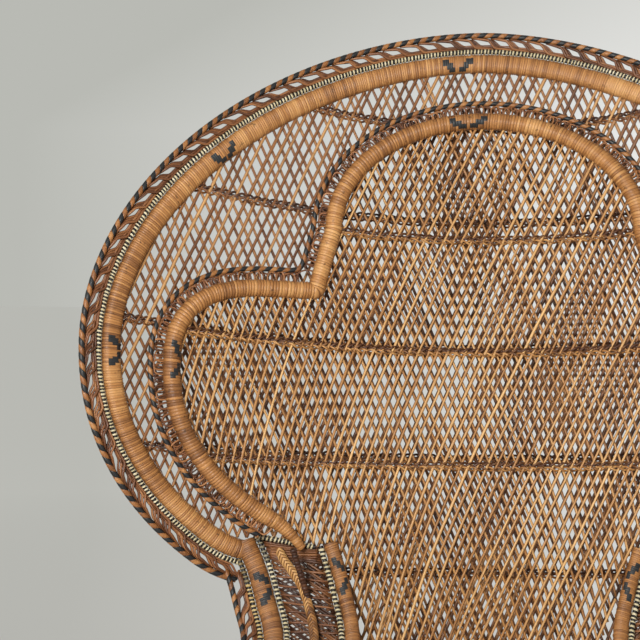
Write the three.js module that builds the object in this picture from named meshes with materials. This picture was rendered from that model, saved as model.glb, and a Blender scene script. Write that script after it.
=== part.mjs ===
// Peacock chair of bound rattan poles and woven cane. Millimetres, +Z up, the sitter faces -Y.
// The back is a leaning, hollowed fan. Places on it are given as (u, v): u across, v up the lean from the
// seat line, and lift to the front of the rear net's middle.
import * as THREE from 'three';

// Clearances that pieces keep: rigid ones, and woven ends that stop beside a curved pole.
const fit = 0.3;
const weaveFit = 1.6;

// Lean is in radians. Below the corners the back rounds to the seat ring.
const back = { lean: 0.15, hollowRadius: 845, seatLine: 450, cornerRise: 264 };

const cane = { thickness: 3, netWidth: 7 };
const band = { width: 27, depth: 20 };
const piping = { radius: 4 };
const rope = { radius: 5.2, offset: 41 };
const loops = { strand: 1.8, thickness: 3.4, standOff: 3, edgeGap: 4.8, strandShare: 0.3 };
// Slant of the loops as a share of a window. Round tight bends they stand straight across.
const loopSlantShares = { hoop: 0.5, bends: 0 };

// The hoop is two half superellipses that meet where it is widest.
const hoop = { halfWidth: 508, widestAt: 530, rise: 420, drop: 362, upperPower: 1.85, lowerPower: 2.15 };

// The trefoil: an elliptic top lobe, straight flanks down to the cusps, and a side lobe on each side.
const trefoil = {
  radius: 12, topHalf: 215, topCentre: 700, topRise: 162, cuspHalf: 238, cuspAt: 611,
  sideHalf: 427, sideWidest: 504, sideShoulder: 300, sidePower: 2.5, endHalf: 285, endAt: 292,
};
const trefoilRope = { radius: 4.2, offset: 28 };
// How far the front net stands before the rear net, where the arms begin.
const frontStand = 45;

// Twined rows: height on the axis, and bow as v = at + u * u / bowRadius. They end beside the edge poles.
const row = { height: 8, depth: 2, endGap: 14, standOff: 1.1, lowStandOff: 3.2 };
const rearRows = [
  { at: 854, bowRadius: 2500 },
  { at: 718, bowRadius: 4600 },
  { at: 538, bowRadius: 8000 },
  { at: 383, bowRadius: 16000 },
  { at: 224, bowRadius: 30000, standOff: row.lowStandOff },
];
const frontRows = [
  { at: 690, bowRadius: 4600 },
  { at: 522, bowRadius: 8000 },
  { at: 372, bowRadius: 16000 },
];

const seat = { ringRadius: 250, ringTop: 428, ringWidth: 32, ringDepth: 22, weave: 6, dish: 8, barRadius: 8 };
const seatBars = 3;
const wall = { netShift: 8, rearHalf: 172, postRadius: 7 };

// Base: an hourglass of net between the seat ring, a waist ring and a foot ring.
const base = { waistRadius: 182, waistHeight: 205, waistSection: 10, footRadius: 268, footSection: 13 };
const basePost = { radius: 8, count: 4, turnShare: 0.5 };

const arm = { reach: 375, cornerHalf: 328, innerWidth: 20, innerDepth: 16, ribRadius: 5.5, barHeight: 12 };
// Places of the arm rails as shares: out of the corner's half width, forward of the reach, and down of the
// drop from the corner to the seat ring.
const outerRailShares = [
  [1, 0, 0], [0.945, 0.04, 0.13], [0.905, 0.09, 0.26], [0.868, 0.155, 0.385], [0.865, 0.32, 0.55],
  [0.875, 0.55, 0.64], [0.83, 0.8, 0.7], [0.7, 0.98, 0.77], [0.625, 1.02, 0.87], [0.625, 1.02, 1],
];
const innerRailShares = [
  [0.643, 0.01, 0], [0.607, 0.04, 0.12], [0.58, 0.08, 0.215], [0.55, 0.14, 0.34], [0.535, 0.32, 0.51],
  [0.545, 0.55, 0.61], [0.545, 0.82, 0.68], [0.5, 1.08, 0.75], [0.457, 1.15, 0.87], [0.457, 1.15, 1],
];
// Shares along the rails, where the border, the top's strands, the piping and the walls start.
// The middle piping ends just above the seat ring.
const armShares = { border: 0.06, strands: 0.045, piping: 0.03, walls: 0.17, pipingEnd: 0.98 };

// Cells of the nets. A real net has about six times as many each way.
const rearCell = { width: 92, height: 176 };
const frontCell = { width: 84, height: 166 };
const wallCell = { widthShare: 1 / 6, height: 104 };
const baseNet = { columns: 11, rows: 3 };
const windows = { hoop: 28, trefoil: 23, arm: 5, armTop: 6 };

const steps = { hoop: 42, topLobe: 18, sideLobe: 16, edging: 64, row: 16, arm: 18, ring: 28, post: 8 };
const sides = { pole: 8, rod: 6 };
const outlinePoints = 96;
const straw = new THREE.Color(0.62, 0.4, 0.22);
const brown = new THREE.Color(0.42, 0.25, 0.14);
const stripe = new THREE.Color(0.55, 0.52, 0.4);

// Places on the back

const upLean = new THREE.Vector3(0, Math.sin(back.lean), Math.cos(back.lean));
const toFront = new THREE.Vector3(0, -Math.cos(back.lean), Math.sin(back.lean));

// How far the hollow comes forward: shallow above the corners, and round as the seat at the seat line.
function hollow(u, v, seatRadius) {
  const share = THREE.MathUtils.clamp(1 - v / back.cornerRise, 0, 1);
  const round = seatRadius - Math.sqrt(Math.max(seatRadius ** 2 - u * u, 0));
  return THREE.MathUtils.lerp(u * u / back.hollowRadius / 2, round, share * share);
}

function backPoint(u, v, lift, seatRadius = seat.ringRadius) {
  const depth = hollow(u, v, seatRadius) + lift;
  return new THREE.Vector3(u, 0, back.seatLine)
    .addScaledVector(upLean, v)
    .addScaledVector(toFront, depth);
}

// The (u, v) of a point near the back.
function placeOnBack(point) {
  return new THREE.Vector2(point.x, point.y * upLean.y + (point.z - back.seatLine) * upLean.z);
}

// The direction that faces the sitter at a point of the back.
function backFacing(point) {
  const { x, y } = placeOnBack(point);
  const rise = hollow(x + fit, y, seat.ringRadius) - hollow(x - fit, y, seat.ringRadius);
  const slope = rise / (2 * fit);
  return new THREE.Vector3(-slope, 0, 0).add(toFront).normalize();
}

// Where nets and posts stand on the seat ring, whose top falls away to its sides.
const ringFall = seat.ringDepth / 2 * (1 - Math.SQRT1_2) / (seat.ringWidth / 2 * Math.SQRT1_2);
const wallFoot = seat.ringTop - (wall.netShift - cane.thickness / 2) * ringFall + 2 * fit;

// The v at which a net comes down to the seat ring.
function footV(u, lift, seatRadius) {
  const depth = hollow(u, 0, seatRadius) + lift;
  return (wallFoot - back.seatLine - depth * toFront.z) / upLean.z;
}

const tubeLift = cane.thickness / 2 + 2 * weaveFit + row.depth + trefoil.radius;
const trefoilTop = trefoil.topCentre + trefoil.topRise;

// The front net's lift: close to the rear net at the top, widest at the corners, and the seat wall's below.
function frontLift(v) {
  if (v < back.cornerRise) {
    const share = Math.max(v, 0) / back.cornerRise;
    return THREE.MathUtils.lerp(2 * wall.netShift, frontStand, share);
  }
  const share = Math.min((v - back.cornerRise) / (trefoilTop - back.cornerRise), 1);
  return THREE.MathUtils.lerp(frontStand, tubeLift, share);
}

// Outlines in (u, v)

function superellipse(halfWidth, rise, power, angle) {
  const across = Math.abs(Math.sin(angle)) ** (2 / power) * Math.sign(Math.sin(angle));
  const up = Math.abs(Math.cos(angle)) ** (2 / power) * Math.sign(Math.cos(angle));
  return new THREE.Vector2(halfWidth * across, rise * up);
}

// The hoop's centre line from the left corner over the top to the right one.
function hoopOutline() {
  const endHalf = arm.cornerHalf + band.width / 2 + 2 * weaveFit;
  const endAngle = Math.PI - Math.asin((endHalf / hoop.halfWidth) ** (hoop.lowerPower / 2));
  const points = [];
  for (let i = 0; i <= outlinePoints; i++) {
    const angle = endAngle * (2 * i / outlinePoints - 1);
    const upper = Math.abs(angle) < Math.PI / 2;
    const rise = upper ? hoop.rise : hoop.drop;
    const power = upper ? hoop.upperPower : hoop.lowerPower;
    const p = superellipse(hoop.halfWidth, rise, power, angle);
    points.push(new THREE.Vector2(p.x, hoop.widestAt + p.y));
  }
  return points;
}

// The trefoil's centre line on the right, as two lobes: from the top to the cusp, and on to the arm.
function trefoilLobes() {
  const quarter = (reach, rise, power, x, y) => {
    const points = [];
    for (let i = 0; i <= outlinePoints / 6; i++) {
      const p = superellipse(reach, rise, power, Math.PI / 2 * i * 6 / outlinePoints);
      points.push(new THREE.Vector2(x + p.x, y + p.y));
    }
    return points;
  };
  const cusp = new THREE.Vector2(trefoil.cuspHalf, trefoil.cuspAt);
  const top = [...quarter(trefoil.topHalf, trefoil.topRise, 2, 0, trefoil.topCentre), cusp];
  const reach = trefoil.sideHalf - trefoil.sideShoulder;
  const rise = trefoil.cuspAt - trefoil.sideWidest;
  const shoulder = quarter(reach, rise, trefoil.sidePower, trefoil.sideShoulder, trefoil.sideWidest);
  const fall = trefoil.sideWidest - trefoil.endAt;
  const run = trefoil.sideHalf - trefoil.endHalf;
  const handleShares = [[0, 0.38], [0.26, 0.74]];
  const handles = handleShares.map(([x, y]) =>
    new THREE.Vector2(trefoil.sideHalf - run * x, trefoil.sideWidest - fall * y));
  const end = new THREE.Vector2(trefoil.endHalf, trefoil.endAt);
  const sweepDown = new THREE.CubicBezierCurve(shoulder.at(-1), ...handles, end);
  const lower = sweepDown.getSpacedPoints(shoulder.length).slice(1);
  return { top, side: [cusp, ...shoulder, ...lower] };
}

// The same places on the other side of the axis, in the opposite order.
function flipped(places) {
  return places.map((p) => new THREE.Vector2(-p.x, p.y)).reverse();
}

// The whole trefoil in (u, v), from its left end over the top to its right end.
function trefoilOutline() {
  const { top, side } = trefoilLobes();
  const half = [...top.slice(0, -1), ...side];
  return [...flipped(half).slice(0, -1), ...half];
}

// The point of a line that lies nearest to a place.
function nearestOn(points, p) {
  let best = points[0];
  for (let i = 1; i < points.length; i++) {
    const a = points[i - 1];
    const along = points[i].clone().sub(a);
    const share = THREE.MathUtils.clamp(p.clone().sub(a).dot(along) / along.lengthSq(), 0, 1);
    const q = a.clone().addScaledVector(along, share);
    best = q.distanceTo(p) < best.distanceTo(p) ? q : best;
  }
  return best;
}

function nearest(points, p) {
  return nearestOn(points, p).distanceTo(p);
}

// Places beside a line of places at a distance to its left, without those that a corner crosses.
function beside(places, distance) {
  const closeShare = 0.97;
  const moved = places.map((p, i) => {
    const along = directionAt(places, i);
    return new THREE.Vector2(p.x - along.y * distance, p.y + along.x * distance);
  });
  return moved.filter((p) => nearest(places, p) >= Math.abs(distance) * closeShare);
}

// Lines and sweeps. A line is a list of stations: a point, and out, the way that its section's y faces.

function directionAt(points, i) {
  const before = points[Math.max(i - 1, 0)];
  const after = points[Math.min(i + 1, points.length - 1)];
  return after.clone().sub(before).normalize();
}

function curveThrough(points) {
  return new THREE.CatmullRomCurve3(points, false, 'centripetal');
}

function lineOf(points, outAt) {
  return points.map((point, i) => ({ point, out: outAt(point, i) }));
}

// The line on the back through places in (u, v).
function backLine(places, lift, count) {
  const curve = curveThrough(places.map((p) => backPoint(p.x, p.y, lift(p.y))));
  return lineOf(curve.getSpacedPoints(count), backFacing);
}

// A line moved sideways by distance and outward by rise. Its stations stay abreast of the first line's.
function shifted(line, distance, rise = 0) {
  const points = line.map(({ point }) => point);
  return line.map(({ point, out }, i) => {
    const across = out.clone().cross(directionAt(points, i)).normalize();
    return { point: point.clone().addScaledVector(across, distance).addScaledVector(out, rise), out };
  });
}

// The line that lies a share of the way from one line to another abreast of it.
function between(a, b, share) {
  return a.map(({ point, out }, i) => ({
    point: point.clone().lerp(b[i].point, share), out: out.clone().lerp(b[i].out, share).normalize(),
  }));
}

function stationAt(line, share) {
  const n = THREE.MathUtils.clamp(share, 0, 1) * (line.length - 1);
  const i = Math.min(Math.floor(n), line.length - 2);
  const [mixed] = between([line[i]], [line[i + 1]], n - i);
  return mixed;
}

function trimmed(line, start, end = 1) {
  const kept = line.filter((_, i) => i / (line.length - 1) > start && i / (line.length - 1) < end);
  return [stationAt(line, start), ...kept, stationAt(line, end)];
}

function ovalSection(width, depth) {
  return new THREE.Shape().absellipse(0, 0, width / 2, depth / 2, 0, 2 * Math.PI);
}

function roundSection(radius) {
  return ovalSection(2 * radius, 2 * radius);
}

function strapSection(width, depth) {
  return new THREE.Shape()
    .moveTo(-width / 2, -depth / 2)
    .lineTo(width / 2, -depth / 2)
    .lineTo(width / 2, depth / 2)
    .lineTo(-width / 2, depth / 2)
    .closePath();
}

// A straight extrusion of unit length bent along a line.
function sweep(section, line, roundness = sides.pole) {
  const count = line.length - 1;
  const body = new THREE.ExtrudeGeometry(section, {
    depth: 1, steps: count, bevelEnabled: false, curveSegments: roundness / 2,
  });
  const points = line.map(({ point }) => point);
  const frames = line.map(({ point, out }, i) => {
    const along = directionAt(points, i);
    const up = out.clone().addScaledVector(along, -out.dot(along)).normalize();
    return { point, up, across: up.clone().cross(along) };
  });
  const places = body.getAttribute('position');
  for (let i = 0; i < places.count; i++) {
    const { point, up, across } = frames[Math.round(places.getZ(i) * count)];
    const p = point.clone().addScaledVector(across, places.getX(i)).addScaledVector(up, places.getY(i));
    places.setXYZ(i, p.x, p.y, p.z);
  }
  return body;
}

// Nets

// Signed room inside a closed outline: positive inside, and the distance to the outline.
function roomIn(outline, p) {
  let inside = false;
  for (let i = 0, j = outline.length - 1; i < outline.length; j = i++) {
    const a = outline[i];
    const b = outline[j];
    const spans = (a.y > p.y) !== (b.y > p.y);
    if (spans && p.x < (b.x - a.x) * (p.y - a.y) / (b.y - a.y) + a.x) {
      inside = !inside;
    }
  }
  const distance = nearest([...outline, outline[0]], p);
  return inside ? distance : -distance;
}

// How far a strand runs from a place before it leaves the outline.
function runIn(outline, from, way) {
  let least = Infinity;
  for (let i = 0; i < outline.length; i++) {
    const a = outline[i];
    const side = outline[(i + 1) % outline.length].clone().sub(a);
    const cross = way.x * side.y - way.y * side.x;
    const start = a.clone().sub(from);
    const run = (start.x * side.y - start.y * side.x) / cross;
    const share = (start.x * way.y - start.y * way.x) / cross;
    if (cross !== 0 && run > 0 && share >= 0 && share <= 1) {
      least = Math.min(least, run);
    }
  }
  return least;
}

// Closed body of flat polygons given thickness. place maps (x, y, height) into space.
function thicken(flat, polygons, thickness, place) {
  const corners = [];
  for (const height of [thickness / 2, -thickness / 2]) {
    corners.push(flat.map((p) => place(p.x, p.y, height)));
  }
  const [top, bottom] = corners;
  const triangles = [];
  const open = new Map();
  for (const polygon of polygons) {
    for (let i = 1; i + 1 < polygon.length; i++) {
      const [a, b, c] = [polygon[0], polygon[i], polygon[i + 1]];
      triangles.push(top[a], top[b], top[c], bottom[a], bottom[c], bottom[b]);
    }
    polygon.forEach((a, i) => {
      const b = polygon[(i + 1) % polygon.length];
      if (!open.delete(`${b},${a}`)) {
        open.set(`${a},${b}`, [a, b]);
      }
    });
  }
  for (const [a, b] of open.values()) {
    triangles.push(top[a], bottom[a], bottom[b], top[a], bottom[b], top[b]);
  }
  return outward(triangles);
}

// A geometry of triangle corners, turned so that its faces point out.
function outward(corners) {
  let volume = 0;
  const normal = new THREE.Vector3();
  for (let i = 0; i < corners.length; i += 3) {
    volume += corners[i].dot(normal.crossVectors(corners[i + 1], corners[i + 2]));
  }
  const numbers = [];
  for (let i = 0; i < corners.length; i += 3) {
    const [a, b, c] = corners.slice(i, i + 3);
    for (const p of volume > 0 ? [a, b, c] : [a, c, b]) {
      numbers.push(p.x, p.y, p.z);
    }
  }
  const geometry = new THREE.BufferGeometry();
  geometry.setAttribute('position', new THREE.Float32BufferAttribute(numbers, 3));
  return geometry;
}

// A net of two diagonal families. Crossings lie half a cell apart on every second row, the lowest a quarter
// of a cell above the foot, and strands run on from the outer ones to the outline. wrap joins the last
// column to the first one.
function netBody({ outline, cell, origin, columns, rows, width, thickness, place, wrap = false }) {
  const way = new THREE.Vector2(cell.width, cell.height).normalize();
  const halfWide = width / 2 / way.y;
  const halfHigh = width / 2 / way.x;
  const centre = (i, j) => new THREE.Vector2(
    origin.x + (i + (j % 2) / 2) * cell.width, origin.y + j * cell.height / 2);
  const key = (i, j) => `${wrap ? (i + columns) % columns : i},${j}`;
  const kept = new Map();
  for (let j = 0; j <= rows; j++) {
    for (let i = 0; i < columns; i++) {
      const p = centre(i, j);
      if (roomIn(outline, p) > halfHigh) {
        kept.set(key(i, j), { i, j, p });
      }
    }
  }
  const flat = [];
  const polygons = [];
  const cornerShares = [[1, 0], [0, 1], [-1, 0], [0, -1]];
  const ways = [[0, 1, 1, 1], [1, 2, -1, 1], [2, 3, -1, -1], [3, 0, 1, -1]];
  const endSamples = [1 / 4, 1 / 2, 3 / 4];
  const joined = joinedTo(kept, key);
  const toNext = Math.hypot(cell.width, cell.height) / 2 - Math.hypot(halfWide, halfHigh) - weaveFit;
  for (const knot of joined) {
    knot.first = flat.length;
    for (const [x, y] of cornerShares) {
      flat.push(new THREE.Vector2(knot.p.x + x * halfWide, knot.p.y + y * halfHigh));
    }
    polygons.push([0, 1, 2, 3].map((n) => knot.first + n));
  }
  for (const knot of joined) {
    for (const [right, left, x, y] of ways) {
      const next = kept.get(key(...beyond(knot, x, y)));
      const a = knot.first + right;
      const b = knot.first + left;
      if (next && y > 0) {
        const opposite = x > 0 ? [3, 2] : [0, 3];
        polygons.push([a, next.first + opposite[0], next.first + opposite[1], b]);
      } else if (!next) {
        const course = new THREE.Vector2(x * way.x, y * way.y);
        const free = [a, b].map((n) => Math.min(runIn(outline, flat[n], course), toNext));
        const runs = free.map((run) => Math.min(run, Math.min(...free) + width));
        const ends = [a, b].map((n, k) => flat[n].clone().addScaledVector(course, runs[k]));
        const rooms = endSamples.map((share) => roomIn(outline, ends[0].clone().lerp(ends[1], share)));
        const over = Math.max(-2 * Math.min(...rooms), 0);
        if (Math.min(...runs) > over + fit) {
          flat.push(...ends.map((p) => p.addScaledVector(course, -over)));
          polygons.push([a, flat.length - 2, flat.length - 1, b]);
        }
      }
    }
  }
  return thicken(flat, polygons, thickness, place);
}

// The crossing that a strand reaches next.
function beyond(knot, x, y) {
  const odd = knot.j % 2;
  const i = x > 0 ? knot.i + odd : knot.i + odd - 1;
  return [i, knot.j + y];
}

// The largest group of crossings that strands join.
function joinedTo(kept, key) {
  const seen = new Set();
  let best = [];
  for (const start of kept.values()) {
    if (seen.has(start)) {
      continue;
    }
    const group = [start];
    seen.add(start);
    for (const knot of group) {
      for (const [x, y] of [[1, 1], [-1, 1], [-1, -1], [1, -1]]) {
        const next = kept.get(key(...beyond(knot, x, y)));
        if (next && !seen.has(next)) {
          seen.add(next);
          group.push(next);
        }
      }
    }
    best = group.length > best.length ? group : best;
  }
  for (const [name, knot] of [...kept]) {
    if (!best.includes(knot)) {
      kept.delete(name);
    }
  }
  return best;
}

// A looped border: an inner and an outer strand with slanted loops between them. place maps the share
// along, the distance across and the height into space. The strands bend also between the loops.
function loopBody({ count, inner, outer, strand, slantShare, strandShare, thickness, place, bends = 0 }) {
  const flat = [];
  const polygons = [];
  const shares = [];
  for (let k = 0; k < count; k++) {
    shares.push(k / count);
    for (let b = 0; b <= bends; b++) {
      shares.push((k + strandShare + (1 - strandShare) * b / (bends + 1)) / count);
    }
  }
  const slant = slantShare / count;
  const lines = [[inner, 0], [inner + strand, 0], [outer - strand, slant], [outer, slant]];
  for (const [across, shift] of lines) {
    for (const share of shares) {
      flat.push(new THREE.Vector2(share * (1 - slant) + shift, across));
    }
  }
  const wide = shares.length;
  for (const line of [0, 2]) {
    for (let k = 0; k + 1 < wide; k++) {
      const a = line * wide + k;
      polygons.push([a, a + 1, a + 1 + wide, a + wide]);
    }
  }
  for (let k = 0; k + 1 < wide; k += 2 + bends) {
    const a = wide + k;
    polygons.push([a, a + 1, a + 1 + wide, a + wide]);
  }
  return thicken(flat, polygons, thickness, place);
}

// Assembly

const chair = new THREE.Group();

function add(name, geometry, color) {
  const material = new THREE.MeshStandardMaterial({ color, roughness: 0.7, metalness: 0 });
  const mesh = new THREE.Mesh(geometry, material);
  mesh.name = name;
  chair.add(mesh);
}

function addHoop() {
  const line = backLine(hoopOutline(), () => 0, steps.hoop);
  add('back_hoop', sweep(ovalSection(band.width, band.depth), line), straw);
  const pipingAt = band.width / 2 + fit + piping.radius;
  add('hoop_piping', sweep(roundSection(piping.radius), shifted(line, pipingAt), sides.rod), stripe);
  add('edge_rope', sweep(roundSection(rope.radius), shifted(line, rope.offset), sides.rod), brown);
  const inner = pipingAt + piping.radius + loops.standOff;
  const outer = rope.offset - rope.radius - weaveFit / 2;
  const place = (share, across, height) => {
    const { point, out } = stationAt(shifted(line, across), share);
    return point.addScaledVector(out, height);
  };
  addLoops('hoop_loops', windows.hoop, inner, outer, place, loopSlantShares.hoop);
}

// The slanted loops of a border between two distances beside a line.
function addLoops(name, count, inner, outer, place, slantShare, bends = 0) {
  add(name, loopBody({
    count, inner, outer, strand: loops.strand, slantShare, strandShare: loops.strandShare,
    thickness: loops.thickness, place, bends,
  }), brown);
}

// The trefoil's pole, with a station on each cusp.
function trefoilLine() {
  const { top, side } = trefoilLobes();
  const left = backLine(flipped(side), frontLift, steps.sideLobe);
  const middle = backLine([...flipped(top).slice(0, -1), ...top], frontLift, steps.topLobe);
  const right = backLine(side, frontLift, steps.sideLobe);
  return [...left, ...middle.slice(1), ...right.slice(1)];
}

function addTrefoil() {
  add('trefoil_tube', sweep(roundSection(trefoil.radius), trefoilLine()), straw);
  const ropeLift = (v) => frontLift(v) - trefoil.radius + trefoilRope.radius;
  const ropeLine = backLine(beside(trefoilOutline(), trefoilRope.offset), ropeLift, steps.edging);
  add('trefoil_rope', sweep(roundSection(trefoilRope.radius), ropeLine, sides.rod), brown);
  const inner = trefoil.radius + weaveFit + fit;
  const outer = trefoilRope.offset - trefoilRope.radius - loops.edgeGap;
  const pole = trefoilLine().map(({ point }) => placeOnBack(point));
  const far = shifted(ropeLine, outer - trefoilRope.offset);
  const place = (share, across, height) => {
    const edge = placeOnBack(stationAt(far, share).point);
    const root = nearestOn(pole, edge);
    const near = root.clone().lerp(edge, inner / root.distanceTo(edge));
    const p = near.lerp(edge, (across - inner) / (outer - inner));
    return backPoint(p.x, p.y, ropeLift(p.y) + height);
  };
  addLoops('trefoil_loops', windows.trefoil, inner, outer, place, loopSlantShares.bends, 1);
}

// The inner edge of a pole on the back in (u, v), just clear of its faces.
function innerEdge(line, halfWidth) {
  return shifted(line, -(halfWidth + fit)).map(({ point }) => placeOnBack(point));
}

// The rear net fills the hoop. Below the corners it stays inside the arms and the corner posts.
function rearOutline() {
  const edge = innerEdge(backLine(hoopOutline(), () => 0, steps.hoop), band.width / 2);
  const armTop = back.cornerRise + band.width;
  const cornerHalf = arm.cornerHalf - band.width / 2 - 2 * (piping.radius + fit) - weaveFit;
  const inset = wall.postRadius + weaveFit;
  const headHalf = arm.cornerHalf * innerRailShares[0][0] + frontStand;
  const narrowing = [[cornerHalf, armTop], [headHalf, back.cornerRise - band.width], [wall.rearHalf, 0]];
  const right = narrowing.map(([x, y]) => new THREE.Vector2(x - inset, y));
  const foot = footEdge(wall.rearHalf - inset, 0, seat.ringRadius + wall.netShift);
  return [...edge.filter((p) => p.y > armTop), ...right, ...foot, ...flipped(right)];
}

// The lower edge of a net on the seat ring, from right to left.
function footEdge(half, lift, seatRadius) {
  const points = [];
  for (let i = 0; i <= steps.post; i++) {
    const u = half * (1 - 2 * i / steps.post);
    points.push(new THREE.Vector2(u, footV(u, lift, seatRadius)));
  }
  return points;
}

function rearPlace(x, y, height) {
  return backPoint(x, y, height, seat.ringRadius + wall.netShift);
}

function frontPlace(x, y, height) {
  return backPoint(x, y, frontLift(y) + height, seat.ringRadius - wall.netShift);
}

function addRearNet() {
  add('back_net', clippedNet(rearOutline(), rearCell, rearPlace), brown);
}

// A net of the back, clipped by an outline and even about the axis.
function clippedNet(outline, cell, place) {
  const box = new THREE.Box2().setFromPoints(outline);
  const half = Math.ceil(box.max.x / cell.width);
  return netBody({
    outline, cell, origin: new THREE.Vector2(-half * cell.width, box.min.y - cell.height / 4),
    columns: 2 * half + 1, rows: Math.ceil(2 * (box.max.y - box.min.y) / cell.height),
    width: cane.netWidth, thickness: cane.thickness, place,
  });
}

// The front net hangs from the trefoil and reaches down between the inner rails.
function frontOutline() {
  const edge = innerEdge(trefoilLine(), trefoil.radius);
  const railHalf = arm.cornerHalf * innerRailShares[0][0] - arm.innerWidth / 2 - weaveFit;
  const lowRailHalf = arm.cornerHalf * innerRailShares[3][0] - arm.innerWidth - weaveFit;
  const footHalf = wall.rearHalf - wall.netShift - cane.netWidth;
  const narrowing = [[railHalf, back.cornerRise], [lowRailHalf, back.cornerRise / 2], [footHalf, 0]];
  const right = narrowing.map(([x, y]) => new THREE.Vector2(x, y));
  const foot = footEdge(footHalf, 2 * wall.netShift, seat.ringRadius - wall.netShift);
  return [...edge, ...right, ...foot, ...flipped(right)];
}

function addFrontNet() {
  add('front_net', clippedNet(frontOutline(), frontCell, frontPlace), straw);
}

// Twined rows lie on the front face of their net.
function addRows(name, rows, outline, place) {
  const section = strapSection(row.depth, row.height);
  rows.forEach(({ at, bowRadius, standOff = row.standOff }, n) => {
    const onFace = cane.thickness / 2 + standOff + row.depth / 2;
    const vAt = (u) => at + u * u / bowRadius;
    let half = hoop.halfWidth;
    while (roomIn(outline, new THREE.Vector2(half, vAt(half))) < row.endGap) {
      half -= row.endGap / 2;
    }
    const line = [];
    for (let i = 0; i <= steps.row; i++) {
      const u = half * (2 * i / steps.row - 1);
      const v = vAt(u);
      const out = place(u, v + row.height, 0).sub(place(u, v - row.height, 0)).normalize();
      line.push({ point: place(u, v, onFace), out });
    }
    add(`${name}_${n + 1}`, sweep(section, line), brown);
  });
}

// Arms

const corner = backPoint(arm.cornerHalf, back.cornerRise, 0);
const seatCentre = footV(0, 0, seat.ringRadius) * upLean.y - seat.ringRadius - wall.netShift;
const railEndTop = seat.ringTop + 3 * fit;

function railPoints(shares, side) {
  const drop = corner.z - railEndTop;
  const curve = curveThrough(shares.map(([out, forward, down]) => new THREE.Vector3(
    side * out * arm.cornerHalf, corner.y - forward * arm.reach, corner.z - down * drop)));
  return curve.getSpacedPoints(steps.arm);
}

// The two rails of one arm, and the lines beside them: distances count outward from the seat.
function armLines(side) {
  const [outerPoints, innerPoints] = [railPoints(outerRailShares, side), railPoints(innerRailShares, side)];
  const upAt = (points) => (point, i) => {
    const outwards = outerPoints[i].clone().sub(innerPoints[i]);
    return directionAt(points, i).cross(outwards).multiplyScalar(side).normalize();
  };
  return {
    outer: lineOf(outerPoints, upAt(outerPoints)),
    inner: lineOf(innerPoints, upAt(innerPoints)),
    moved: (line, distance, rise) => shifted(line, side * distance, rise),
  };
}

function addArm(label, side) {
  const { outer, inner, moved } = armLines(side);
  const put = (name, section, line, color, roundness) =>
    add(`${label}_${name}`, sweep(section, line, roundness), color);
  put('outer_rail', ovalSection(band.width, band.depth), outer, straw);
  put('inner_rail', ovalSection(arm.innerWidth, arm.innerDepth), inner, straw);
  const pipe = roundSection(piping.radius);
  const besideOuter = band.width / 2 + fit + piping.radius;
  const besideInner = arm.innerWidth / 2 + fit + piping.radius;
  const outerPipe = trimmed(moved(outer, besideOuter), armShares.piping);
  put('outer_piping', pipe, outerPipe, stripe, sides.rod);
  const middlePipe = trimmed(moved(outer, -besideOuter), 0, armShares.pipingEnd);
  put('middle_piping', pipe, middlePipe, stripe, sides.rod);
  put('inner_piping', pipe, moved(inner, besideInner), stripe, sides.rod);
  const ropeLine = trimmed(moved(outer, rope.offset), armShares.border);
  put('arm_rope', roundSection(rope.radius), ropeLine, brown, sides.rod);
  const loopsFrom = besideOuter + piping.radius + 3 / 2 * weaveFit;
  const loopsTo = rope.offset - rope.radius - weaveFit;
  const place = (share, across, height) => {
    const t = THREE.MathUtils.lerp(armShares.border, 1, share);
    const { point, out } = stationAt(moved(outer, across), t);
    return point.addScaledVector(out, height);
  };
  addLoops(`${label}_arm_loops`, windows.arm, loopsFrom, loopsTo, place, loopSlantShares.bends, 1);
  const besidePipes = piping.radius + weaveFit;
  addArmTop(label, side, besideOuter + besidePipes, besideInner + besidePipes);
  addArmWalls(label, side);
}

// The top of the arm: strands across the channel, with a rib lying on their middle.
function addArmTop(label, side, fromOuter, fromInner) {
  const { outer, inner, moved } = armLines(side);
  const sink = loops.thickness;
  const near = moved(inner, fromInner + fit, -sink);
  const far = moved(outer, -fromOuter - fit, -sink);
  const place = (share, across, height) => {
    const t = THREE.MathUtils.lerp(armShares.strands, 1, share);
    const { point, out } = stationAt(between(near, far, across / frontStand), t);
    return point.addScaledVector(out, height);
  };
  add(`${label}_arm_strands`, loopBody({
    count: windows.armTop, inner: 0, outer: frontStand, strand: loops.strand, slantShare: 0.1,
    strandShare: 0.16, thickness: cane.thickness, place,
  }), brown);
  const rise = cane.thickness / 2 + loops.standOff + arm.ribRadius;
  const ribLine = between(shifted(near, 0, rise), shifted(far, 0, rise), 1 / 2);
  const rib = sweep(roundSection(arm.ribRadius), trimmed(ribLine, armShares.strands), sides.rod);
  add(`${label}_arm_rib`, rib, straw);
}

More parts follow.
